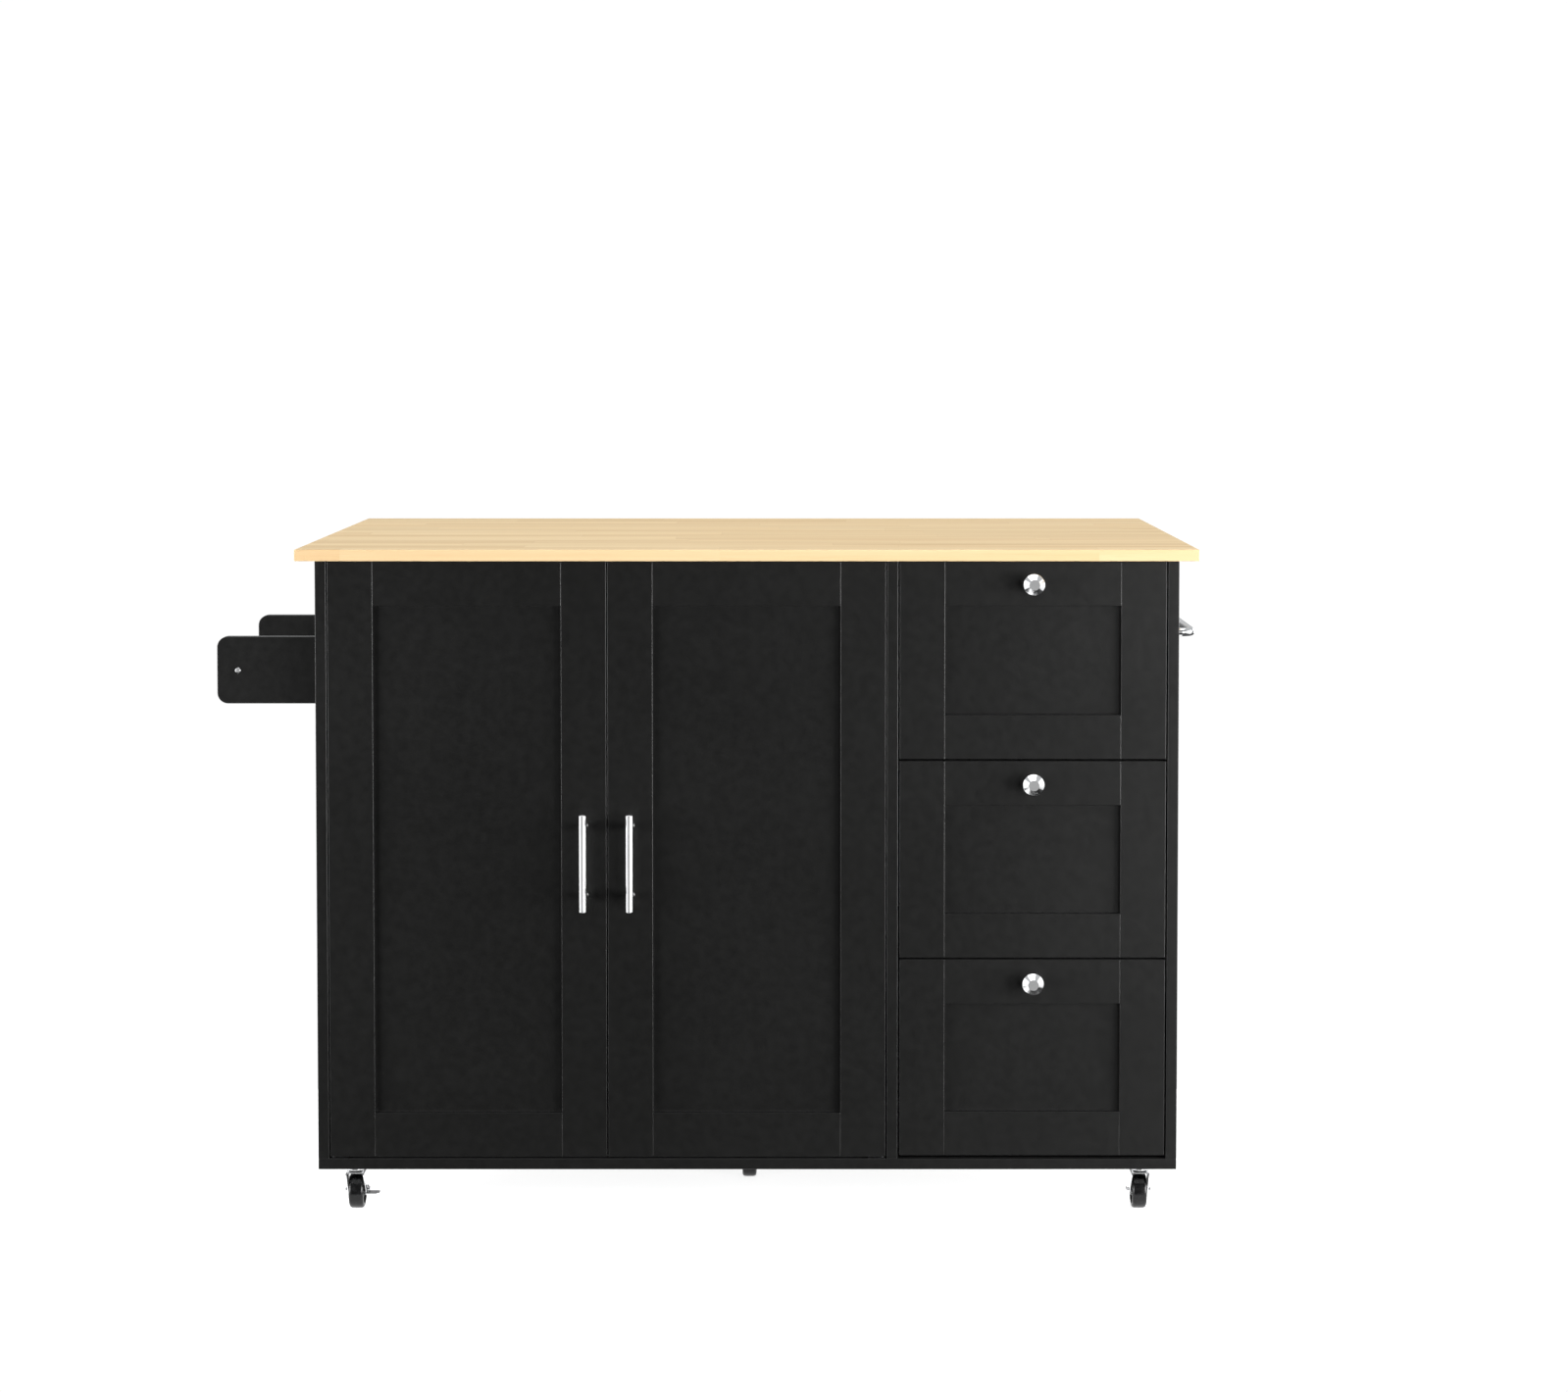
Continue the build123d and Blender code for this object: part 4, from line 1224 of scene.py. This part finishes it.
# %% [markdown]
# A door turns on a short pin above and a short pin below its outer edge. Each pin stands on a small plate
# that is screwed to the cabinet, at the bottom facing up and at the top facing down. Real doors of this
# kind usually hang on spring hinges with four arms. A plain pivot gives one axis, which is what a joint
# needs.

# %% Door pivots
mid_height = 0.5
pin_inset = 0.0035
screw_offset = 0.003
fittings = []
for low, high in solids("hinge_pins"):
    lower = low.z < mid_height
    left = low.x < 0
    plate_z = (low.z, low.z + sheet) if lower else (high.z - sheet, high.z)
    fittings.append(board((low.x, low.y, plate_z[0]), (high.x, high.y, plate_z[1]), 0.0003, 2))
    door_low, door_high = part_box("left_door_frame" if left else "right_door_frame")
    pin_x = door_low.x + pin_inset if left else door_high.x - pin_inset
    pin_y = door_low.y + pin_inset
    pin_start = (pin_x, pin_y, low.z + 0.0002)
    pin_end = (pin_x, pin_y, high.z - 0.0002)
    fittings.append(rod(0.002, pin_start, pin_end, 0.0003, 24))
    screw_x = (low.x + high.x) / 2 + (screw_offset if left else -screw_offset)
    screw_z = plate_z[1] if lower else plate_z[0]
    up = 1 if lower else -1
    screw_place = (screw_x, (low.y + high.y) / 2, screw_z)
    fittings.append(screw_head(screw_place, (0, 0, up), 0.0028, 0.0006, 24))
piece("door_pivot_pins", fittings, dark_steel, "root", ("hinge_pins",))
print("door pivot shapes:", len(fittings))

# %% [markdown]
# The doors have a plate of their own for each pin, let into the end of the frame. It stands a fifth of a
# millimetre out of the wood, so its face is never level with the paint round it.

# %% Hinge plates on the doors
stand_out = 0.0002
for side in ("left", "right"):
    name = f"{side}_door_hinge_plates"
    plates = []
    for low, high in solids(name):
        plate_low = (low.x, low.y, low.z - stand_out)
        plate_high = (high.x, high.y, high.z + stand_out)
        plates.append(board(plate_low, plate_high, 0.0003, 2))
    piece(name + "_finished", plates, dark_steel, f"{side}_door", (name,))
    print(side, "door hinge plates:", len(plates))

# %% [markdown]
# ## Nails in the back
#
# The thin back is nailed into the sides, the bottom, the divider and the rail above. Rows of small flat
# heads, about a hand's width apart, are a small thing that tells the eye how the cabinet goes together.

# %% Back nails
back_low, back_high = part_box("back_panel")
divider_low, divider_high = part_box("divider_panel")
nail = [(0, 0.0005), (0.0016, 0.0004), (0.0020, 0.0001), (0.0020, 0), (0, 0)]
inset = 0.007
rows = 8
steps_across = 10
nails = []
for row in range(rows):
    height = back_low.z + inset + (back_high.z - back_low.z - 2 * inset) * row / (rows - 1)
    for x in (back_low.x + inset, (divider_low.x + divider_high.x) / 2, back_high.x - inset):
        nails.append(turned(nail, (x, back_high.y, height), (0, 1, 0), 16))
for column in range(1, steps_across):
    x = back_low.x + (back_high.x - back_low.x) * column / steps_across
    nails.append(turned(nail, (x, back_high.y, back_low.z + inset), (0, 1, 0), 16))
    nails.append(turned(nail, (x, back_high.y, back_high.z - inset), (0, 1, 0), 16))
piece("back_nails", nails, zinc, "root")
print("nails:", len(nails))

# %% [markdown]
# ## Floor, light and room
#
# A white studio is a pale floor and a white room, with one large soft light over the object and softer
# ones at its sides. The floor glows a little, as a lit backdrop does, so only the lightest contact shadow
# is left on it. It is a small patch under the object.


# %% Floor
def floor_finish():
    """A matt, faintly clouded white with a glow of its own."""
    made, tree, shader, place = new_finish("pale_floor")
    cloud = noise(tree, place, 1.6, detail=3.0)
    fine = noise(tree, place, 220.0, detail=2.0)
    pale = colours(tree, cloud, [(0.3, (0.80, 0.80, 0.80)), (0.7, (0.83, 0.83, 0.83))])
    tree.links.new(pale, shader.inputs["Base Color"])
    shader.inputs["Roughness"].default_value = 0.85
    shader.inputs["Specular IOR Level"].default_value = 0.1
    shader.inputs["Emission Color"].default_value = (1.0, 1.0, 1.0, 1.0)
    shader.inputs["Emission Strength"].default_value = 0.80
    relief(tree, shader, fine, 0.0001, 0.2)
    return made


floor_reach = (0.80, 0.40)
floor_gap = 0.0004
floor_shape = bmesh.new()
bmesh.ops.create_grid(floor_shape, x_segments=1, y_segments=1, size=1.0)
bmesh.ops.scale(floor_shape, vec=(floor_reach[0], floor_reach[1], 1.0), verts=floor_shape.verts)
floor_mesh = bpy.data.meshes.new("floor")
floor_shape.to_mesh(floor_mesh)
floor_shape.free()
floor_mesh.materials.append(floor_finish())
floor = bpy.data.objects.new("floor", floor_mesh)
floor.location.z = cad_low.z - floor_gap
bpy.context.scene.collection.objects.link(floor)
print("floor height:", round(floor.location.z, 4))

# %% [markdown]
# Satin paint and chrome both mirror the lights, so a light's size and place matter more than its power.
# A softbox is an area light that the camera can't see. The one above lights the wood, the two at the
# sides draw the door frames, and the weaker ones open up the right front corner and the back.


# %% Soft lights
def softbox(name, place, aim, width, height, power):
    """A rectangular light that faces a point."""
    data = bpy.data.lights.new(name, "AREA")
    data.shape = "RECTANGLE"
    data.size = width
    data.size_y = height
    data.energy = power
    made = bpy.data.objects.new(name, data)
    made.location = place
    made.rotation_euler = (Vector(aim) - Vector(place)).to_track_quat("-Z", "Y").to_euler()
    made.visible_camera = False
    bpy.context.scene.collection.objects.link(made)
    return made


softbox("overhead_softbox", (0.0, -0.3, 3.3), (0.0, -0.1, 0.8), 3.2, 2.6, 42.0)
side_boxes = [
    softbox("right_softbox", (3.4, -1.8, 0.6), (0.1, -0.3, 0.5), 2.4, 1.7, 330.0),
    softbox("left_softbox", (-3.4, -1.8, 0.6), (-0.1, -0.3, 0.5), 2.4, 1.7, 198.0),
]
softbox("right_front_softbox", (2.3, -4.3, 0.6), (0.3, -0.3, 0.5), 1.2, 3.4, 32.0)
softbox("rear_right_softbox", (3.2, 2.9, 0.9), (0.0, 0.1, 0.5), 2.0, 2.6, 60.0)
softbox("rear_left_softbox", (-3.2, 2.9, 0.9), (0.0, 0.1, 0.5), 2.0, 2.6, 40.0)
print("softboxes at the sides:", [box.name for box in side_boxes])

# %% [markdown]
# Chrome has no colour of its own, so it looks like whatever stands round it. The strong softboxes at the
# sides would turn the pulls plain white, and a real studio would shade them off. Light linking does that
# here: those two leave the chrome out, and three cards light the chrome and nothing else. The grey card
# in front gives the bright metal its darker middle line.

# %% Lights for the chrome
card_height = 4.0
chrome_pieces = bpy.data.collections.new("chrome_pieces")
other_pieces = bpy.data.collections.new("other_pieces")
for item in bpy.data.objects:
    if item.type == "MESH":
        is_chrome = bool(item.data.materials) and item.data.materials[0] == chrome
        group = chrome_pieces if is_chrome else other_pieces
        group.objects.link(item)
for box in side_boxes:
    box.light_linking.receiver_collection = other_pieces
for name, place, aim, width, power in (
    ("grey_card_for_chrome", (0.1, -6.0, 0.6), (0.1, 0.0, 0.6), 6.0, 32.0),
    ("left_card_for_chrome", (-3.3, -2.5, 0.6), (0.0, -2.5, 0.6), 6.0, 82.0),
    ("right_card_for_chrome", (3.5, -2.5, 0.6), (0.0, -2.5, 0.6), 6.0, 82.0),
):
    card = softbox(name, place, aim, width, card_height, power)
    card.light_linking.receiver_collection = chrome_pieces

# %% [markdown]
# The room itself is white where the camera looks at it and a softer grey where it only lights and
# reflects. Without that, the paint would mirror pure white and lose its black. Its strength also depends
# on the direction: weaker towards the front, and weaker below the horizon.

# %% Room
room = bpy.data.worlds.new("room")
room.use_nodes = True
bpy.context.scene.world = room
tree = room.node_tree
for item in list(tree.nodes):
    tree.nodes.remove(item)
ray = tree.nodes.new("ShaderNodeLightPath")
seen = tree.nodes.new("ShaderNodeBackground")
seen.inputs["Color"].default_value = (1.0, 1.0, 1.0, 1.0)
seen.inputs["Strength"].default_value = 1.02
lit = tree.nodes.new("ShaderNodeBackground")
lit.inputs["Color"].default_value = (0.97, 0.985, 1.0, 1.0)
direction = tree.nodes.new("ShaderNodeTexCoord")
way = tree.nodes.new("ShaderNodeSeparateXYZ")
tree.links.new(direction.outputs["Generated"], way.inputs["Vector"])
away_from_camera = spread(tree, way.outputs["Y"], -0.9, -0.2, 0.12, 0.60)
above = spread(tree, way.outputs["Z"], -0.12, 0.10, 0.16, 1.0)
tree.links.new(math_node(tree, "MULTIPLY", away_from_camera, above), lit.inputs["Strength"])
choose = tree.nodes.new("ShaderNodeMixShader")
out = tree.nodes.new("ShaderNodeOutputWorld")
tree.links.new(ray.outputs["Is Camera Ray"], choose.inputs["Fac"])
tree.links.new(lit.outputs["Background"], choose.inputs[1])
tree.links.new(seen.outputs["Background"], choose.inputs[2])
tree.links.new(choose.outputs["Shader"], out.inputs["Surface"])
print("world nodes:", len(tree.nodes))

# %% [markdown]
# Blender can bend the brightness curve of a finished render. The Standard view leaves the values as they
# are, so a white room stays white and the colours come out as set.

# %% View settings
view = bpy.context.scene.view_settings
view.view_transform = "Standard"
view.look = "None"
view.exposure = 0.0
view.gamma = 1.0
print("view transform:", view.view_transform)

# %% [markdown]
# ## Sizes for a last look
#
# The finished pieces must fill the same box as the frame. The frame's box is printed here.

# %% The frame's box
print("CAD box:", [round(v, 4) for v in (*cad_low, *cad_high)])
